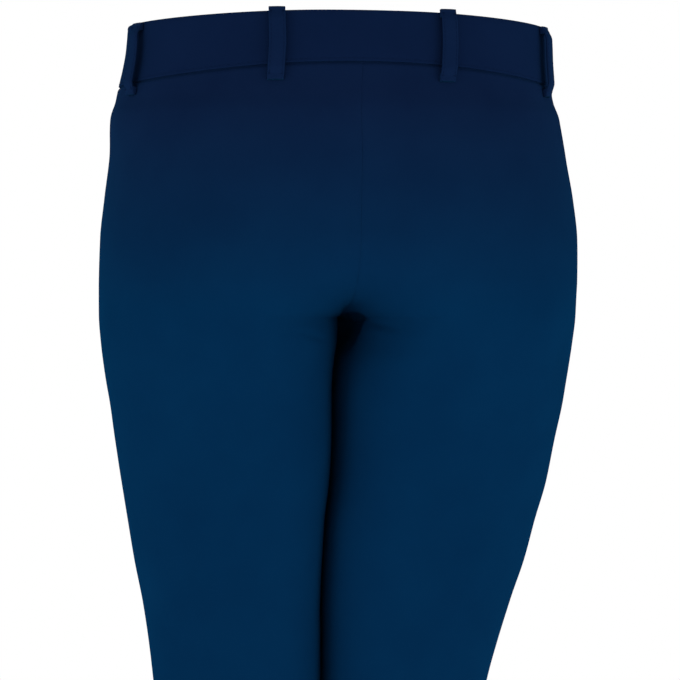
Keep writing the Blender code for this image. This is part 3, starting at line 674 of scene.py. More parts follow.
def new_mesh(name, points, faces, material, uv=None):
    """A smooth mesh object; uv holds a place on the cloth for each point, in metres."""
    mesh = bpy.data.meshes.new(name)
    points = np.asarray(points, np.float32)
    faces = np.asarray(faces, np.int32)
    sides = faces.shape[1]
    mesh.vertices.add(len(points))
    mesh.vertices.foreach_set("co", points.ravel())
    mesh.loops.add(faces.size)
    mesh.loops.foreach_set("vertex_index", faces.ravel())
    mesh.polygons.add(len(faces))
    mesh.polygons.foreach_set("loop_start", np.arange(0, faces.size, sides, dtype=np.int32))
    mesh.polygons.foreach_set("loop_total", np.full(len(faces), sides, np.int32))
    if uv is not None:
        layer = mesh.uv_layers.new(name="cloth")
        layer.data.foreach_set("uv", np.asarray(uv, np.float32)[faces.ravel()].ravel())
    mesh.update(calc_edges=True)
    mesh.validate()
    mesh.shade_smooth()
    mesh.materials.append(material)
    made = bpy.data.objects.new(name, mesh)
    bpy.context.scene.collection.objects.link(made)
    return made


def shell_faces(rows, columns, flipped):
    """The quads of a closed wall whose outer points come first, and then its inner ones."""
    count = rows * columns
    place = np.arange(count).reshape(rows, columns)
    front = np.stack([place[:-1, :-1], place[:-1, 1:], place[1:, 1:], place[1:, :-1]], axis=-1).reshape(-1, 4)
    back = front[:, ::-1] + count
    rim = np.concatenate([place[0, :], place[1:, -1], place[-1, -2::-1], place[-2:0:-1, 0]])
    after = np.roll(rim, -1)
    edge = np.stack([after, rim, rim + count, after + count], axis=-1)
    faces = np.concatenate([front, back, edge])
    return faces[:, ::-1] if flipped else faces


def shell(name, outer, inner, uv, material, flipped):
    """A closed wall of cloth between two grids of points."""
    points = bend(np.concatenate([outer.reshape(-1, 3), inner.reshape(-1, 3)]))
    uv = np.tile(uv.reshape(-1, 2), (2, 1))
    return new_mesh(name, points, shell_faces(*outer.shape[:2], flipped), material, uv)


# ------------------------------------------------------------------ the panels

def waist_seam_z(half, share):
    """The waist seam's height, which rises to the centre back and falls a little to the front."""
    weight = np.cos(math.pi / 2 * share) ** 2
    return WAIST_SEAM_Z + weight * (BACK_SEAM_RISE if half == "back" else -FRONT_DROP)


def row_heights(half):
    """For each row its height at the centre seam or inseam and at the side seam."""
    seat = (np.arange(SEAT_ROWS) / SEAT_ROWS) ** SEAT_ROW_EASE
    crotch = np.arange(CROTCH_ROWS) / CROTCH_ROWS
    leg = (np.arange(LEG_ROWS + 1) / LEG_ROWS) ** LEG_ROW_EASE
    leg = np.sort(np.concatenate([leg, 1 - np.array(HEM_OFFSETS) / (THIGH_Z - HEM_Z)]))
    rows = []
    for steps, side_steps, (top, low), (side_top, side_low) in (
        (seat, seat, (waist_seam_z(half, 0), SEAT_Z), (WAIST_SEAM_Z, SIDE_SEAT_Z)),
        (np.sin(crotch * math.pi / 2), crotch, (SEAT_Z, CROTCH_Z), (SIDE_SEAT_Z, THIGH_Z)),
        (leg, leg, (CROTCH_Z, HEM_Z), (THIGH_Z, HEM_Z)),
    ):
        centre, side = top + steps * (low - top), side_top + side_steps * (side_low - side_top)
        rows.append(np.column_stack([centre, side]))
    return np.concatenate(rows)


def cloth_at(z):
    """The wall's thickness, which the turned-up hem doubles."""
    return CLOTH + (HEM_CLOTH - CLOTH) * ease((HEM_Z + HEM_DEPTH - z) / HEM_FADE)


def fly_share(z):
    """1 down to the fly's end, and 0 below it."""
    return ease((z - FLY_END_Z + FLY_FADE) / FLY_FADE)


def lapped_edge(distance, z):
    """Where the lap puts a place on the right front's edge, and how far it lifts it off the edge below."""
    near = 1 - ease((distance - FLY_FLAT) / FLY_BLEND)
    moved = distance - (FLY_LAP + SEAM_CLEAR) * near * fly_share(z)
    return moved, FLY_LIFT * near * fly_share(z + FLY_SETTLE)


def creases(half, side, from_side, z):
    """How far the listed creases push the cloth in or out."""
    relief = np.zeros_like(z)
    for values in CREASES[half, side]:
        crease = dict(zip(CREASE_COLUMNS, values))
        across = crease["along"] - from_side
        share = across / crease["reach"]
        line = crease["z"] + across * math.tan(math.radians(crease["tilt"])) - crease["bow"] * share**2
        offset = (z - line) / crease["wide"]
        fade = np.maximum(1 - share**2, 0.0) ** 2
        relief -= crease["deep"] * fade * (1 - RIDGE * offset**2) * np.exp(-(offset**2))
    return relief


def hollow(half, side, distance, from_side, z):
    """How far the cloth sinks in at the crotch, behind, where the thighs part from each other."""
    if half == "front":
        return np.zeros_like(z)
    sunk = ARCH_DEEP * trough(distance, ARCH_WIDTH) * between(z, ARCH_HEIGHTS)
    if side < 0:
        inward = ease((from_side - POCKET_EDGE) / POCKET_SOFT) * ease(distance / POCKET_CLEAR)
        sunk = sunk + POCKET_DEEP * inward * between(z, POCKET_HEIGHTS)
    return sunk


def ease_of_cloth(half, side, from_side, z):
    """A faint unevenness, such as any stretched cloth has."""
    relief = np.zeros_like(z)
    for tall, *waves in UNEVEN:
        for up, along, shift in waves:
            tall = tall * np.sin(up * z + along * from_side + shift * (UNEVEN_PHASE[half] + side))
        relief += tall
    return relief


def panel_places(half):
    """For each row and column of a panel its way to the side seam, and its height."""
    heights = row_heights(half)
    centre_z, side_z = heights[:, :1], heights[:, 1:]
    across = quarter_length(half, centre_z)
    edge = np.array(EDGE_OFFSETS)
    start = edge[-1]
    middle = start + (across - 2 * start) * np.linspace(0, 1, MIDDLE_COLUMNS + 2)[1:-1]
    near = np.broadcast_to(edge, (len(heights), len(edge)))
    share = np.concatenate([near, middle, across - edge[::-1]], axis=1) / across
    z = side_z + (centre_z - side_z) * np.cos(math.pi / 2 * share) ** 2
    z[0] -= SEAM_CLEAR
    return share, (1 - share) * across, z


def panel_cloth(half, side):
    """Outer and inner points, the cloth's own places and normals of one panel, as for the left side."""
    share, from_side, z = panel_places(half)
    length = quarter_length(half, z)
    distance = np.clip(length - from_side, SEAM_CLEAR, length - SEAM_CLEAR)
    normal = panel_normal(half, distance / length, z)
    upper = z[:, 0] > CROTCH_Z
    normal[upper, 0] = unit(normal[upper, 0] * (0, 1, 1))
    normal[~upper, 0] = unit(normal[~upper, 0] * (1, 0, 1))
    normal[:, -1] = unit(normal[:, -1] * (1, 0, 1))
    down, up = waist_seam_z(half, share) - z, z - HEM_Z
    calm = ease(down / CALM_WAIST) * ease(distance / CALM_SEAM) * ease(from_side / CALM_SEAM)
    calm *= ease(up / CALM_HEM)
    relief = calm * (creases(half, side, from_side, z) + ease_of_cloth(half, side, from_side, z))
    inner_roll = np.where(fly_share(z) > 0, 0.0, 1.0) if half == "front" else 1.0
    inner_roll = inner_roll * (1 - TIGHT_SHARE * between(z, TIGHT_HEIGHTS))
    relief -= SEAM_ROLL * trough(distance, SEAM_ROLL_WIDTH) * inner_roll
    relief -= SEAM_ROLL * trough(from_side, SEAM_ROLL_WIDTH)
    relief -= WAIST_ROLL * trough(down, WAIST_ROLL_WIDTH)
    relief -= HEM_ROLL * trough(up, HEM_ROLL_WIDTH)
    relief -= HEM_STITCH_DIP * trough(up - HEM_STITCH_UP, HEM_STITCH_WIDTH)
    place, lift, held = distance, 0.0, True
    if (half, side) == ("front", -1):
        place, lift = lapped_edge(distance, z)
        relief -= LAP_ROLL * trough(distance, LAP_ROLL_WIDTH) * fly_share(z)
        held = fly_share(z) == 0
    point = panel_point(half, place, z)
    point[..., 0] = np.where(held, np.maximum(point[..., 0], SEAM_CLEAR), point[..., 0])
    lift = lift - hollow(half, side, distance, from_side, z)
    outer = point + normal * (lift + relief)[..., None]
    roll_in = np.minimum(relief, 0) * INSIDE_CREASE * calm
    inner = point + normal * (lift - cloth_at(z) + roll_in)[..., None]
    return outer, inner, np.stack([from_side, z], axis=-1), normal


def panel(half, side, material):
    """One panel's shell; side is 1 for the left and -1 for the right."""
    outer, inner, places, _ = panel_cloth(half, side)
    if side < 0:
        outer, inner, places = mirrored(outer), mirrored(inner), places * (-1, 1)
    flipped = (half == "back") == (side > 0)
    return shell(sided("cloth_" + half, side), outer, inner, places, material, flipped)


# ------------------------------------------------------------------ the waistband

def quarter_shares(around):
    """For each place on the ring, whether it is in the back, and how far to the side seam it is."""
    back = quarter_length("back", np.array([WAIST_SEAM_Z]))[0]
    front = quarter_length("front", np.array([WAIST_SEAM_Z]))[0]
    from_back = np.abs(around - 1) * (back + front)
    share = np.where(from_back < back, from_back / back, np.abs(back + front - from_back) / front)
    return from_back < back, share


def ring_heights(around):
    """The waist seam's and the band's top's height at each place on the ring."""
    in_back, share = quarter_shares(np.asarray(around, float))
    low = np.where(in_back, waist_seam_z("back", share), waist_seam_z("front", share))
    weight = np.cos(math.pi / 2 * share) ** 2
    return low, BAND_TOP_Z + weight * np.where(in_back, BACK_TOP_RISE, -FRONT_DROP)


def band_lift(around):
    """How far the over end lies out over the under end."""
    return BAND_LIFT * ease((around - BAND_LIFT_START) / (BAND_LIFT_END - BAND_LIFT_START))


def band_surface(around, up, out):
    """A point on the band, this far up from the waist seam and out from the cloth, and its normal."""
    low, _ = ring_heights(around)
    z = low + up
    normal = ring_normal(around, z)
    return ring_point(around, z) + normal * (band_lift(around) + out)[..., None], normal


def waistband(material):
    around = -BAND_UNDER + (2 + BAND_OVER + BAND_UNDER) * np.linspace(0, 1, BAND_COLUMNS)
    ends = np.array(BAND_END_OFFSETS) / HALF_WAIST
    around = np.sort(np.concatenate([around, around[0] + ends, around[-1] - ends]))
    low, high = ring_heights(around)
    tall = (high - low)[None, :] - SEAM_CLEAR
    edge = np.array(BAND_EDGE)[:, None]
    inside = np.linspace(0, 1, BAND_MIDDLE + 2)[1:-1][:, None]
    middle = edge[-1] + (tall - 2 * edge[-1]) * inside
    up = np.concatenate([np.broadcast_to(edge, (len(edge), len(around))), middle, tall - edge[::-1]])
    z = low + SEAM_CLEAR + up
    place = np.broadcast_to(around, z.shape)
    point, normal = ring_point(place, z), ring_normal(place, z)
    ring = ring_length(np.zeros(1))[0]
    from_end = np.minimum(around - around[0], around[-1] - around) * ring
    round_top, round_end = rounded(tall - up, BAND_CLOTH / 2), rounded(from_end, BAND_CLOTH / 2)
    round_low = rounded(up, BAND_LOW_ROUND)
    relief = -np.maximum(np.maximum(round_top, round_low), round_end)
    for line in (BAND_STITCH, tall - BAND_STITCH):
        relief = relief - BAND_DIP * trough(up - line, BAND_DIP_WIDTH)
    quick, upward, slow = BAND_WAVE_TURNS
    waves = np.sin(quick * place + upward * up / tall) * np.sin(slow * place + 1)
    relief = relief + BAND_WAVE * waves * np.sin(math.pi * np.clip(up / tall, 0, 1))
    lift = band_lift(place)
    outer = point + normal * (lift + relief)[..., None]
    round_inside = np.maximum(np.maximum(round_top, 0.5 * round_low), round_end) * INSIDE_ROUND
    inner = point + normal * (lift - BAND_CLOTH + round_inside)[..., None]
    return shell("band_waist", outer, inner, np.stack([place * ring, up], axis=-1), material, False)


# ------------------------------------------------------------------ the belt loops

def loop_around(place, side, distance, z):
    """Where on the ring a loop lies; side is 1 for the left and -1 for the right."""
    half = ring_length(z)
    if place == "back":
        return 1 - side * distance / half
    if place == "side":
        distance = distance + quarter_length("front", z)
    return (side * distance / half) % 2


def loop_size(place):
    return dict(zip(LOOP_COLUMN_NAMES, LOOPS[place]))


def loop_reach(place, station):
    """How far a loop's face stands off the cloth, and whether it is tacked down there."""
    raised = ease(station / LOOP_RISE) * ease((1 - station) / LOOP_RISE)
    out = LOOP_FOLD + (loop_size(place)["stand"] - LOOP_FOLD) * raised
    return out, (station < LOOP_TACK) | (station > 1 - LOOP_TACK)


def loop_surface(place, side, station, across, out=0.0):
    """A point this far out from a loop's face, station from 0 at its top and across from -0.5 to 0.5."""
    size = loop_size(place)
    start = size["distance"] - side * size["skew"]
    middle = loop_around(place, side, start, np.zeros(1))[0]
    low, high = ring_heights(np.array([middle]))
    top, bottom = high[0] + size["above"], low[0] - size["below"]
    z = top + (bottom - top) * station
    around = loop_around(place, side, start + size["sweep"] * station + LOOP_WIDTH * across, z)
    reach, _ = loop_reach(place, station)
    normal = ring_normal(around, z)
    return ring_point(around, z) + normal * (reach + out)[..., None], normal, top - bottom


def belt_loop(place, side, material):
    """A folded strip, its ends turned under and tacked down, with rounded long edges."""
    near = np.concatenate([LOOP_END_STATIONS, (LOOP_TACK - LOOP_TACK_EDGE, LOOP_TACK + LOOP_TACK_EDGE)])
    station = np.sort(np.concatenate([np.linspace(0, 1, LOOP_STATIONS), near, 1 - near]))[:, None]
    station, across = np.broadcast_arrays(station, np.array(LOOP_ACROSS)[None, :] - 0.5)
    face, normal, tall = loop_surface(place, side, station, across)
    from_edge = (0.5 - np.abs(across)) * LOOP_WIDTH
    from_end = np.minimum(station, 1 - station) * tall
    roll = rounded(from_edge, LOOP_CLOTH / 2)
    relief = LOOP_CROWN * (1 - (2 * across) ** 2) - roll - rounded(from_end, LOOP_END_ROUND)
    relief -= LOOP_DIP * trough(from_edge - LOOP_STITCH_IN, LOOP_DIP_WIDTH)
    under_tack = np.abs(across) < BARTACK_DIP_REACH
    relief -= LOOP_DIP * trough(from_end - LOOP_BARTACK_IN, BARTACK_DIP_WIDTH) * under_tack
    outer = face + normal * relief[..., None]
    reach, tacked = loop_reach(place, station)
    depth = np.where(tacked, reach - SEAM_CLEAR, LOOP_CLOTH)
    inner = face - normal * (depth - roll * INSIDE_ROUND)[..., None]
    uv = np.stack([across * LOOP_WIDTH, station * tall], axis=-1)
    return shell(sided("loop_" + place, side), outer, inner, uv, material, True)


# ------------------------------------------------------------------ stitching

def tubes(name, starts, middles, ends, radius, material):
    """Short bowed strands joined in one mesh: each runs from its start over its middle to its end."""
    t = np.linspace(0, 1, STITCH_RINGS)[None, :, None]
    path = starts[:, None] * (1 - t) ** 2 + 2 * t * (1 - t) * middles[:, None] + ends[:, None] * t**2
    along = unit(np.gradient(path, axis=1))
    up = unit(middles - (starts + ends) / 2)[:, None]
    sideways = unit(np.cross(along, up))
    rise = np.cross(sideways, along)
    angle = np.linspace(0, 2 * math.pi, STITCH_SIDES, endpoint=False)[None, None, :, None]
    thin = radius * (1 - STITCH_TAPER * (2 * np.abs(t - 0.5)) ** 3)[..., None]
    ring = path[:, :, None] + thin * (np.cos(angle) * sideways[:, :, None] + np.sin(angle) * rise[:, :, None])
    body = np.arange(ring.size // 3).reshape(ring.shape[:3])
    low, high = body[:, :-1], body[:, 1:]
    quads = np.stack([low, high, np.roll(high, -1, axis=2), np.roll(low, -1, axis=2)], axis=-1)
    faces = [quads.reshape(-1, 4)]
    for edge in (body[:, 0], body[:, -1, ::-1]):
        for corner in range(1, STITCH_SIDES - 2, 2):
            faces.append(edge[:, [0, corner, corner + 1, corner + 2]])
    return new_mesh(name, bend(ring.reshape(-1, 3)), np.concatenate(faces), material)


def strands(name, groups, radius, material):
    """Strands in one mesh; each group holds the starts, middles and ends of some."""
    return tubes(name, *[np.concatenate(places) for places in zip(*groups)], radius, material)


def resampled(points, normals, pitch):
    """A reader of a line's points and normals, and places on it at an even pitch."""
    steps = np.linalg.norm(np.diff(points, axis=0), axis=1)
    along = np.concatenate([[0.0], np.cumsum(steps)])
    count = max(int(along[-1] / pitch), 1)
    places = np.arange(count) * pitch + (along[-1] - count * pitch) / 2

    def read(far):
        spots = np.column_stack([np.interp(far, along, points[:, axis]) for axis in range(3)])
        outward = np.column_stack([np.interp(far, along, normals[:, axis]) for axis in range(3)])
        return spots, unit(outward)

    return read, places


def stitches(name, lines, material):
    """Stitches in one mesh, along lines of points with normals."""
    groups = []
    for points, normals in lines:
        read, places = resampled(points, normals, STITCH + STITCH_SPACE)
        group = []
        for far, out in ((0.0, -STITCH_SINK), (STITCH / 2, 2 * STITCH_RISE), (STITCH, -STITCH_SINK)):
            spot, outward = read(places + far)
            group.append(spot + outward * out)
        groups.append(group)
    return strands(name, groups, THREAD, material)


def surface_of(grid_points, grid_normals, line):
    """Points and normals read from a grid along a line of (row, column) places."""
    rows, columns = line[:, 0], line[:, 1]
    low_row = np.clip(np.floor(rows).astype(int), 0, grid_points.shape[0] - 2)
    low_column = np.clip(np.floor(columns).astype(int), 0, grid_points.shape[1] - 2)
    down, over = (rows - low_row)[:, None], (columns - low_column)[:, None]

    def mix(grid):
        first = grid[low_row, low_column] * (1 - over) + grid[low_row, low_column + 1] * over
        second = grid[low_row + 1, low_column] * (1 - over) + grid[low_row + 1, low_column + 1] * over
        return first * (1 - down) + second * down

    return mix(grid_points), unit(mix(grid_normals))


def hem_stitches(material):
    """Two rows round each hem, a twin needle's width apart."""
    lines = []
    for half, side in PANELS:
        outer, _, _, normal = panel_cloth(half, side)
        z, columns = outer[::-1, :, 2], np.arange(outer.shape[1])
        for up in (HEM_STITCH_UP - TWIN_NEEDLE / 2, HEM_STITCH_UP + TWIN_NEEDLE / 2):
            rows = [np.interp(HEM_Z + up, z[:, c], np.arange(len(z))[::-1]) for c in columns]
            line = surface_of(outer, normal, np.column_stack([rows, columns]))
            lines.append(line if side > 0 else [mirrored(part) for part in line])
    return [stitches("stitch_hems", lines, material)]


def band_stitches(material):
    """One row along the band's lower edge, one along its top and one up its over end."""
    around = np.linspace(-BAND_UNDER + BAND_END_IN, 2 + BAND_OVER - BAND_END_IN, BAND_ROW_POINTS)
    low, high = ring_heights(around)
    tall = high - low
    up = np.linspace(BAND_STITCH, tall[-1] - BAND_STITCH, BAND_END_POINTS)
    lines = [
        band_surface(around, np.full_like(around, BAND_STITCH + SEAM_CLEAR), -BAND_STITCH_SINK),
        band_surface(around, tall - BAND_STITCH, -BAND_STITCH_SINK),
        band_surface(np.full_like(up, around[-1]), up, -BAND_END_SINK),
    ]
    return [stitches("stitch_band", lines, material)]


def loop_stitches(material):
    """Two rows down each loop, and a bartack across each end."""
    lines, tacks = [], []
    station = np.linspace(LOOP_ROW_END, 1 - LOOP_ROW_END, LOOP_ROW_POINTS)
    for place in LOOPS:
        for side in SIDES:
            for edge in (-1, 1):
                across = np.full_like(station, edge * (0.5 - LOOP_STITCH_IN / LOOP_WIDTH))
                lines.append(loop_surface(place, side, station, across, -LOOP_STITCH_SINK)[:2])
            tacks += loop_bartacks(place, side)
    return [
        stitches("stitch_loops", lines, material),
        strands("bartacks_loops", tacks, BARTACK_THREAD, material),
    ]


def loop_bartacks(place, side):
    """The close upright stitches across a loop's two ends."""
    across = np.linspace(-BARTACK_REACH, BARTACK_REACH, BARTACK_STITCHES)
    tall = loop_surface(place, side, np.zeros(1), np.zeros(1))[2]
    groups = []
    for middle in (LOOP_BARTACK_IN / tall, 1 - LOOP_BARTACK_IN / tall):
        group = []
        for shift, out in ((-0.5, -BARTACK_SINK), (0.0, BARTACK_RISE), (0.5, -BARTACK_SINK)):
            station = np.full_like(across, middle + shift * BARTACK_TALL / tall)
            group.append(loop_surface(place, side, station, across, out)[0])
        groups.append(group)
    return groups


def fly_line(inset):
    """The fly's J-shaped line of stitching on the right front, from the waist seam to the fly's end."""
    straight_end = FLY_END_Z + FLY_CURVE
    z = np.linspace(WAIST_SEAM_Z - FRONT_DROP - FLY_STITCH_TOP, straight_end, FLY_ROW_POINTS)
    far = np.full_like(z, FLY_STITCH - inset)
    turn = np.linspace(0, math.pi / 2, FLY_TURN_POINTS)[1:]
    curve_z = straight_end - (FLY_CURVE - FLY_STITCH_EDGE - inset) * np.sin(turn)
    curve_far = FLY_STITCH_EDGE + (FLY_STITCH - inset - FLY_STITCH_EDGE) * np.cos(turn)
    return np.concatenate([far, curve_far]), np.concatenate([z, curve_z])


def on_lapped_front(far, z, out=0.0):
    """A point on the right front, far from its edge, with the fly's lap and lift in it."""
    length = quarter_length("front", z)
    normal = panel_normal("front", np.clip(far / length, CENTRE_SHARE, 1), z)
    distance, lift = lapped_edge(far, z)
    relief = creases("front", -1, length - far, z) + ease_of_cloth("front", -1, length - far, z)
    relief *= ease((waist_seam_z("front", far / length) - z) / CALM_WAIST) * ease(far / CALM_SEAM)
    point = panel_point("front", distance, z) + normal * (lift + relief + out)[..., None]
    return mirrored(point), mirrored(normal)


def fly_stitches(material):
    """The fly's two curved rows, and the bartacks at its end and on its curve."""
    lines = [on_lapped_front(*fly_line(inset)) for inset in FLY_ROWS]
    tacks = []
    for far, z, tall, count in FLY_BARTACKS:
        level = np.linspace(z, z - tall, count)
        group = []
        for shift, out in ((-FLY_TACK_WIDTH, -TACK_SINK), (0.0, TACK_RISE), (FLY_TACK_WIDTH, -TACK_SINK)):
            group.append(on_lapped_front(np.full(count, far + shift), level, out)[0])
        tacks.append(group)
    return [
        stitches("stitch_fly", lines, material),
        strands("bartacks_fly", tacks, BARTACK_THREAD, material),
    ]


def button_height():
    """How far above the waist seam the button sits, at the centre front."""
    return -ring_heights(np.array([2.0]))[0][0]


def band_bars(x, up, places):
    """Bars on the band's over end; places shift their starts, middles and ends along, up and out."""
    ring = ring_length(np.zeros(1))[0]
    return [band_surface(2 + (x + along) / ring, up + rise, out)[0] for along, rise, out in places]


def buttonhole(material):
    """Close stitches round a level slit in the band's over end, most of it under the button."""
    level = button_height()
    start, end = BUTTON_X + HOLE_PAST_BUTTON, BUTTON_X + HOLE_PAST_BUTTON - HOLE_LENGTH
    groups = []
    for edge in (HOLE_REACH, -HOLE_REACH):
        inner, middle = HOLE_INNER * edge, HOLE_MIDDLE * edge
        places = ((0.0, inner, -HOLE_SINK), (0.0, middle, TACK_RISE), (0.0, edge, -TACK_SINK))
        groups.append(band_bars(np.linspace(start, end, HOLE_STITCHES), level, places))
    up = level + np.linspace(-HOLE_REACH, HOLE_REACH, HOLE_END_STITCHES)
    places = ((-HOLE_END_WIDTH, 0.0, -HOLE_SINK), (0.0, 0.0, TACK_RISE), (HOLE_END_WIDTH, 0.0, -HOLE_SINK))
    for x in (start, end):
        groups.append(band_bars(np.full_like(up, x), up, places))
    return [strands("stitch_buttonhole", groups, HOLE_THREAD, material)]


def button_thread(material):
    """Two bars of thread through the button's four holes."""
    reach = BUTTON_HOLE_SPREAD * math.sqrt(0.5)
    low, high = BUTTON_FACE - BUTTON_THREAD_SINK, BUTTON_FACE + BUTTON_THREAD_RISE
    places = ((-reach, 0.0, low), (0.0, 0.0, high), (reach, 0.0, low))
    groups = []
    for bar in (-1, 1):
        up = button_height() + bar * reach + np.array(BUTTON_STRANDS)
        groups.append(band_bars(np.full_like(up, BUTTON_X), up, places))
    return [strands("thread_button", groups, BUTTON_THREAD, material)]


# ------------------------------------------------------------------ the zip

def zip_places(distance, z, deep):
    """Points behind the front edges, this far from the centre and this deep under the cloth's face."""
    share = np.clip(np.abs(distance) / quarter_length("front", z), CENTRE_SHARE / 2, 1)
    normal = panel_normal("front", share, z)
    normal = normal * np.stack([np.where(distance < 0, -1.0, 1.0), np.ones_like(z), np.ones_like(z)], axis=-1)
    return panel_point("front", distance, z) - normal * deep, normal


def zip_tapes(material):
    """The two woven tapes, close beside each other behind the fly."""
    made = []
    for side in SIDES:
        z = np.linspace(ZIP_TOP_Z, ZIP_END_Z, TAPE_ROWS)[:, None]
        distance = side * np.linspace(TAPE_IN, ZIP_WIDTH / 2, TAPE_COLUMNS)[None, :]
        distance, z = np.broadcast_arrays(distance, z)
        outer, normal = zip_places(distance, z, ZIP_DEPTH + SEAM_GAP)
        inner = outer - normal * TAPE_CLOTH
        uv = np.stack([distance, z], axis=-1)
        made.append(shell(sided("zip_tape", side), outer, inner, uv, material, side > 0))
    return made


def zip_teeth(material):
    """The coil's turns, drawn as bars that reach over the middle in turn from each side."""
    z = np.arange(ZIP_TOP_Z - TEETH_UNDER_TOP, ZIP_END_Z + TEETH_OVER_END, -TOOTH_PITCH / 2)
    side = np.where(np.arange(len(z)) % 2, 1.0, -1.0)
    group = [zip_places(side * far, z, ZIP_DEPTH + deep)[0] for far, deep in TOOTH_PLACES]
    return tubes("zip_teeth", *group, TOOTH_THICK, material)


def box_between(name, corners, material):
    """A closed six-sided solid from its eight corners, lower four first, both rings the same way round."""
    faces = [[3, 2, 1, 0], [4, 5, 6, 7], [0, 1, 5, 4], [1, 2, 6, 5], [2, 3, 7, 6], [3, 0, 4, 7]]
    made = new_mesh(name, bend(np.array(corners)), faces, material)
    bevel = made.modifiers.new("round", "BEVEL")
    bevel.width = SLIDER_BEVEL
    bevel.segments = 3
    return made


def zip_slider(material):
    """The closed zip's slider at the top, with its flat tab hanging down."""
    parts = []
    for name, x, top, bottom, deep, thick in SLIDER_PARTS:
        corners = []
        for layer in (deep + thick, deep):
            for far, down in ((-x, bottom), (x, bottom), (SLIDER_TAPER * x, top), (-SLIDER_TAPER * x, top)):
                spot, _ = zip_places(np.array([far]), np.array([ZIP_TOP_Z - down]), ZIP_DEPTH + layer)
                corners.append(spot[0])
        parts.append(box_between(name, corners, material))
    return parts


# ------------------------------------------------------------------ materials

def feed(tree, item, inputs):
    """Gives a node's inputs, by name or number, a number, a colour or another node's output each."""
    for place, value in inputs.items():
        if isinstance(value, bpy.types.NodeSocket):
            tree.links.new(value, item.inputs[place])
        else:
            item.inputs[place].default_value = value


def added(tree, kind, inputs, **settings):
    """A new shader node."""
    made = tree.nodes.new("ShaderNode" + kind)
    for name, value in settings.items():
        setattr(made, name, value)
    feed(tree, made, inputs)
    return made


def blank_material(name, roughness, specular, sheen=0.0, tint=(1, 1, 1, 1)):
    """A Principled material with its even values set on the shader's own sockets."""
    material = bpy.data.materials.new(name)
    material.use_nodes = True
    tree = material.node_tree
    shader = tree.nodes["Principled BSDF"]
    feed(tree, shader, {
        "Roughness": roughness, "Metallic": 0.0, "Specular IOR Level": specular,
        "Sheen Weight": sheen, "Sheen Roughness": SHEEN_ROUGHNESS, "Sheen Tint": tint,
    })
    return material, tree, shader


def mixed(tree, factor, first, second):
    """A colour mix; first and second are colours or sockets."""
    return added(tree, "Mix", {0: factor, 6: first, 7: second}, data_type="RGBA").outputs[2]


def maths(tree, operation, first, second):
    """A Math node; first and second are numbers or sockets."""
    return added(tree, "Math", {0: first, 1: second}, operation=operation).outputs[0]


def weighted(tree, *parts):
    """The sum of sockets, each with its weight."""
    total = None
    for value, weight in parts:
        if weight != 1:
            value = maths(tree, "MULTIPLY", value, weight)
        total = value if total is None else maths(tree, "ADD", total, value)
    return total


def ribs(tree, places, pitch, degrees, warp, seed):
    """Soft parallel ribs on the cloth, pitch metres apart and a little uneven, turned by some degrees."""
    turned = added(tree, "Mapping", {"Rotation": (0, 0, math.radians(degrees)), "Vector": places})
    inputs = {
        "Vector": turned.outputs["Vector"], "Scale": RIB_SCALE / pitch, "Distortion": warp, "Detail": 1.0,
        "Detail Scale": 0.4, "Phase Offset": seed,
    }
    return added(tree, "TexWave", inputs, wave_type="BANDS", wave_profile="SIN").outputs["Fac"]


def noise(tree, vector, size, detail=3.0, roughness=0.5):
    """Cloudy noise with features about size metres across."""
    inputs = {"Vector": vector, "Scale": 1 / size, "Detail": detail, "Roughness": roughness}
    return added(tree, "TexNoise", inputs).outputs["Fac"]


def ranged(tree, value, low, high, to_low, to_high):
    """A value moved from one range to another."""
    inputs = {"Value": value, "From Min": low, "From Max": high, "To Min": to_low, "To Max": to_high}
    return added(tree, "MapRange", inputs).outputs["Result"]


def whole_object(tree):
    """Places on the whole garment, in metres."""
    return added(tree, "TexCoord", {}).outputs["Object"]


def height_of(tree, places):
    return added(tree, "SeparateXYZ", {"Vector": places}).outputs["Z"]


def bumped(tree, height, strength, depth):
    inputs = {"Strength": strength, "Distance": depth, "Height": height}
    return added(tree, "Bump", inputs).outputs["Normal"]


def opaque(colours):
    return [(*colour, 1) for colour in colours]


def woven(name, waist, leg, pitch, angle, depth, roughness, specular, sheen):
    """A twill: slanted ribs crossed by finer yarns, with cloudy changes of tone over the garment.

    waist and leg are each a dark and a light colour: at the waist, painted shade; below the seat, painted
    light.
    """
    material, tree, shader = blank_material(name, roughness, specular, sheen, SHEEN_TINT)
    places = added(tree, "UVMap", {}, uv_map="cloth").outputs["UV"]
    whole = whole_object(tree)
    twill = ribs(tree, places, pitch, angle, RIB_UNEVEN, 0.0)
    yarns = ribs(tree, places, pitch * YARN_PITCH, angle - YARN_TURN, YARN_UNEVEN, YARN_PHASE)
    fuzz = noise(tree, places, FUZZ_SIZE, 2.0)
    weave = weighted(tree, (twill, RIB_SHARE), (yarns, 1 - RIB_SHARE))
    cloud = noise(tree, whole, CLOUD_SIZE, 3.0, 0.55)
    tone = weighted(tree, *zip((weave, fuzz, cloud), TONE_SHARES))
    share = ranged(tree, tone, *TONE_RANGE, 0.0, 1.0)
    # painted shade and light: the colour fades with height from the waist's darker tones to the leg's lighter
    # ones
    lower = ranged(tree, height_of(tree, whole), *PAINTED_SHADE_HEIGHTS, 0.0, 1.0)
    feed(tree, shader, {
        "Base Color": mixed(
            tree, lower, mixed(tree, share, *opaque(waist)), mixed(tree, share, *opaque(leg))
        ),
        "Roughness": ranged(
            tree, tone, *TONE_RANGE, roughness + WEAVE_ROUGHNESS, roughness - WEAVE_ROUGHNESS
        ),
        "Normal": bumped(tree, weighted(tree, (weave, 1), (fuzz, FUZZ_BUMP)), WEAVE_BUMP, depth),
    })
    return material


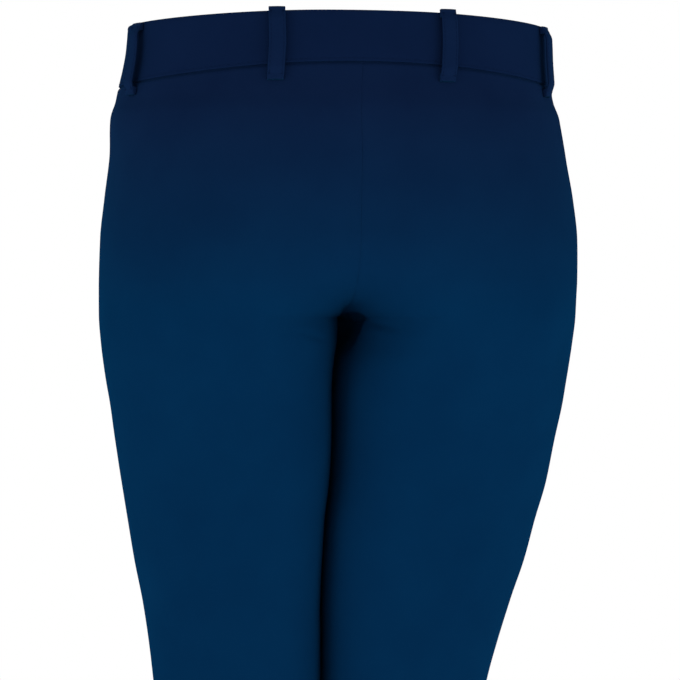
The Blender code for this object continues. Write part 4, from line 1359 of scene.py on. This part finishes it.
def smooth_finish(name, tones, size, depth, roughness, specular):
    """Thread, plastic or enamel: a cloudy tone and a fine grain."""
    material, tree, shader = blank_material(name, roughness, specular)
    whole = whole_object(tree)
    cloud = noise(tree, whole, size * GRAINS_PER_CLOUD)
    grain = noise(tree, whole, size, 2.0)
    feed(tree, shader, {
        "Base Color": mixed(tree, ranged(tree, cloud, *GRAIN_RANGE, 0.0, 1.0), *opaque(tones)),
        "Roughness": ranged(
            tree, grain, *GRAIN_RANGE, roughness - GRAIN_ROUGHNESS, roughness + GRAIN_ROUGHNESS
        ),
        "Normal": bumped(tree, grain, GRAIN_BUMP, depth),
    })
    return material


def make_materials():
    made = {key: woven(*row) for key, *row in WOVEN}
    made.update({key: smooth_finish(*row) for key, *row in SMOOTH})
    return made


# ------------------------------------------------------------------ the studio

def linked(name, data, place, aim):
    """A camera or light at a place, looking along aim."""
    made = bpy.data.objects.new(name, data)
    made.location = place
    made.rotation_mode = "QUATERNION"
    made.rotation_quaternion = aim.to_track_quat("-Z", "Y")
    bpy.context.scene.collection.objects.link(made)
    return made


def look_through_camera():
    """A long lens at the crotch's height, behind the wearer and a little to one side."""
    angle = math.radians(CAMERA_AZIMUTH)
    back = Vector((math.sin(angle), -math.cos(angle), 0))
    right = Vector((math.cos(angle), math.sin(angle), 0))
    data = bpy.data.cameras.new("camera")
    data.lens = CAMERA_LENS
    data.sensor_width = CAMERA_SENSOR
    data.clip_end = CAMERA_REACH
    place = Vector((0, 0, LOOK_AT_Z)) + right * LOOK_AT_RIGHT + back * CAMERA_DISTANCE
    bpy.context.scene.camera = linked("camera", data, place, -back)


def area_light(name, azimuth, distance, z, width, height, power, colour, aim_z):
    """A soft rectangular light, aimed at the garment's axis."""
    angle = math.radians(azimuth)
    data = bpy.data.lights.new(name, "AREA")
    data.shape = "RECTANGLE"
    data.size, data.size_y = width, height
    data.energy = power
    data.color = colour
    place = Vector((math.sin(angle) * distance, -math.cos(angle) * distance, z))
    linked(name, data, place, Vector((0, 0, aim_z)) - place)


def world():
    """A white room: bright at eye level and below, dimmer and a little pink overhead."""
    made = bpy.data.worlds.new("studio")
    bpy.context.scene.world = made
    made.use_nodes = True
    tree = made.node_tree
    tree.nodes.clear()
    heading = added(tree, "TexCoord", {}).outputs["Generated"]
    up = ranged(tree, height_of(tree, heading), -1, 1, 0, 1)
    ramp = added(tree, "ValToRGB", {"Fac": up})
    for element, (position, colour) in zip(ramp.color_ramp.elements, ROOM_TONES):
        element.position = position
        element.color = (*colour, 1)
    sky = added(tree, "Background", {"Strength": 1.0, "Color": ramp.outputs["Color"]})
    added(tree, "OutputWorld", {"Surface": sky.outputs["Background"]})


def floor():
    """A plain pale floor a heel's height under the hems."""
    material, tree, shader = blank_material("pale_floor", *FLOOR_FINISH)
    cloud = noise(tree, whole_object(tree), FLOOR_CLOUD, 2.0)
    feed(tree, shader, {
        "Base Color": mixed(tree, cloud, *opaque(FLOOR_TONES)),
        "Emission Color": (1.0, 1.0, 1.0, 1), "Emission Strength": FLOOR_GLOW,
    })
    turn = np.linspace(0, 2 * math.pi, FLOOR_SIDES, endpoint=False)
    ring = np.column_stack([np.cos(turn), np.sin(turn), np.zeros_like(turn)]) * FLOOR_RADIUS
    points = np.concatenate([np.zeros((1, 3)), ring]) + (0, 0, FLOOR_Z)
    order = np.arange(FLOOR_SIDES)
    faces = np.stack([np.zeros_like(order), order + 1, (order + 1) % FLOOR_SIDES + 1], axis=-1)
    new_mesh("floor", points, faces, material)


def studio():
    look_through_camera()
    world()
    floor()
    for light in LIGHTS:
        area_light(*light)
    view = bpy.context.scene.view_settings
    view.view_transform = "Standard"
    view.look = "None"


# ------------------------------------------------------------------ all of it

def keep(piece):
    """Makes a piece ride on the garment's one body."""
    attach(piece, "root")
    return piece


def dress(paint):
    """The panels, the waistband and the loops, and then their stitching."""
    for half, side in PANELS:
        cloth = keep(panel(half, side, paint["cloth"]))
        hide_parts(sided(half, side))
    band = keep(waistband(paint["band"]))
    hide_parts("waistband")
    for place in LOOPS:
        for side in SIDES:
            loop = keep(belt_loop(place, side, paint["loop"]))
            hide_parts(sided("belt_loop_" + place, side))
    for stitched, thread, slot in (
        # the hems' thread is the copy lightened as painted light
        (hem_stitches, "hem_thread", "stretch_cloth"),
        (fly_stitches, "thread", "stretch_cloth"),
        (band_stitches, "thread", "band_cloth"),
        (loop_stitches, "thread", "band_cloth"),
        (buttonhole, "thread", "band_cloth"),
        (button_thread, "thread", "band_cloth"),
    ):
        for piece in stitched(paint[thread]):
            keep(piece)


def fasten(paint):
    """The closed zip; the button stays as the solids have it."""
    tapes = zip_tapes(paint["tape"])
    for tape in tapes:
        keep(tape)
    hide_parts("zip")
    for piece in [zip_teeth(paint["teeth"]), *zip_slider(paint["slider"])]:
        keep(piece)


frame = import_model()
finishes = make_materials()
studio()
dress(finishes)
fasten(finishes)
for material_slot in frame["nodes"]["button"].material_slots:
    material_slot.material = finishes["button"]
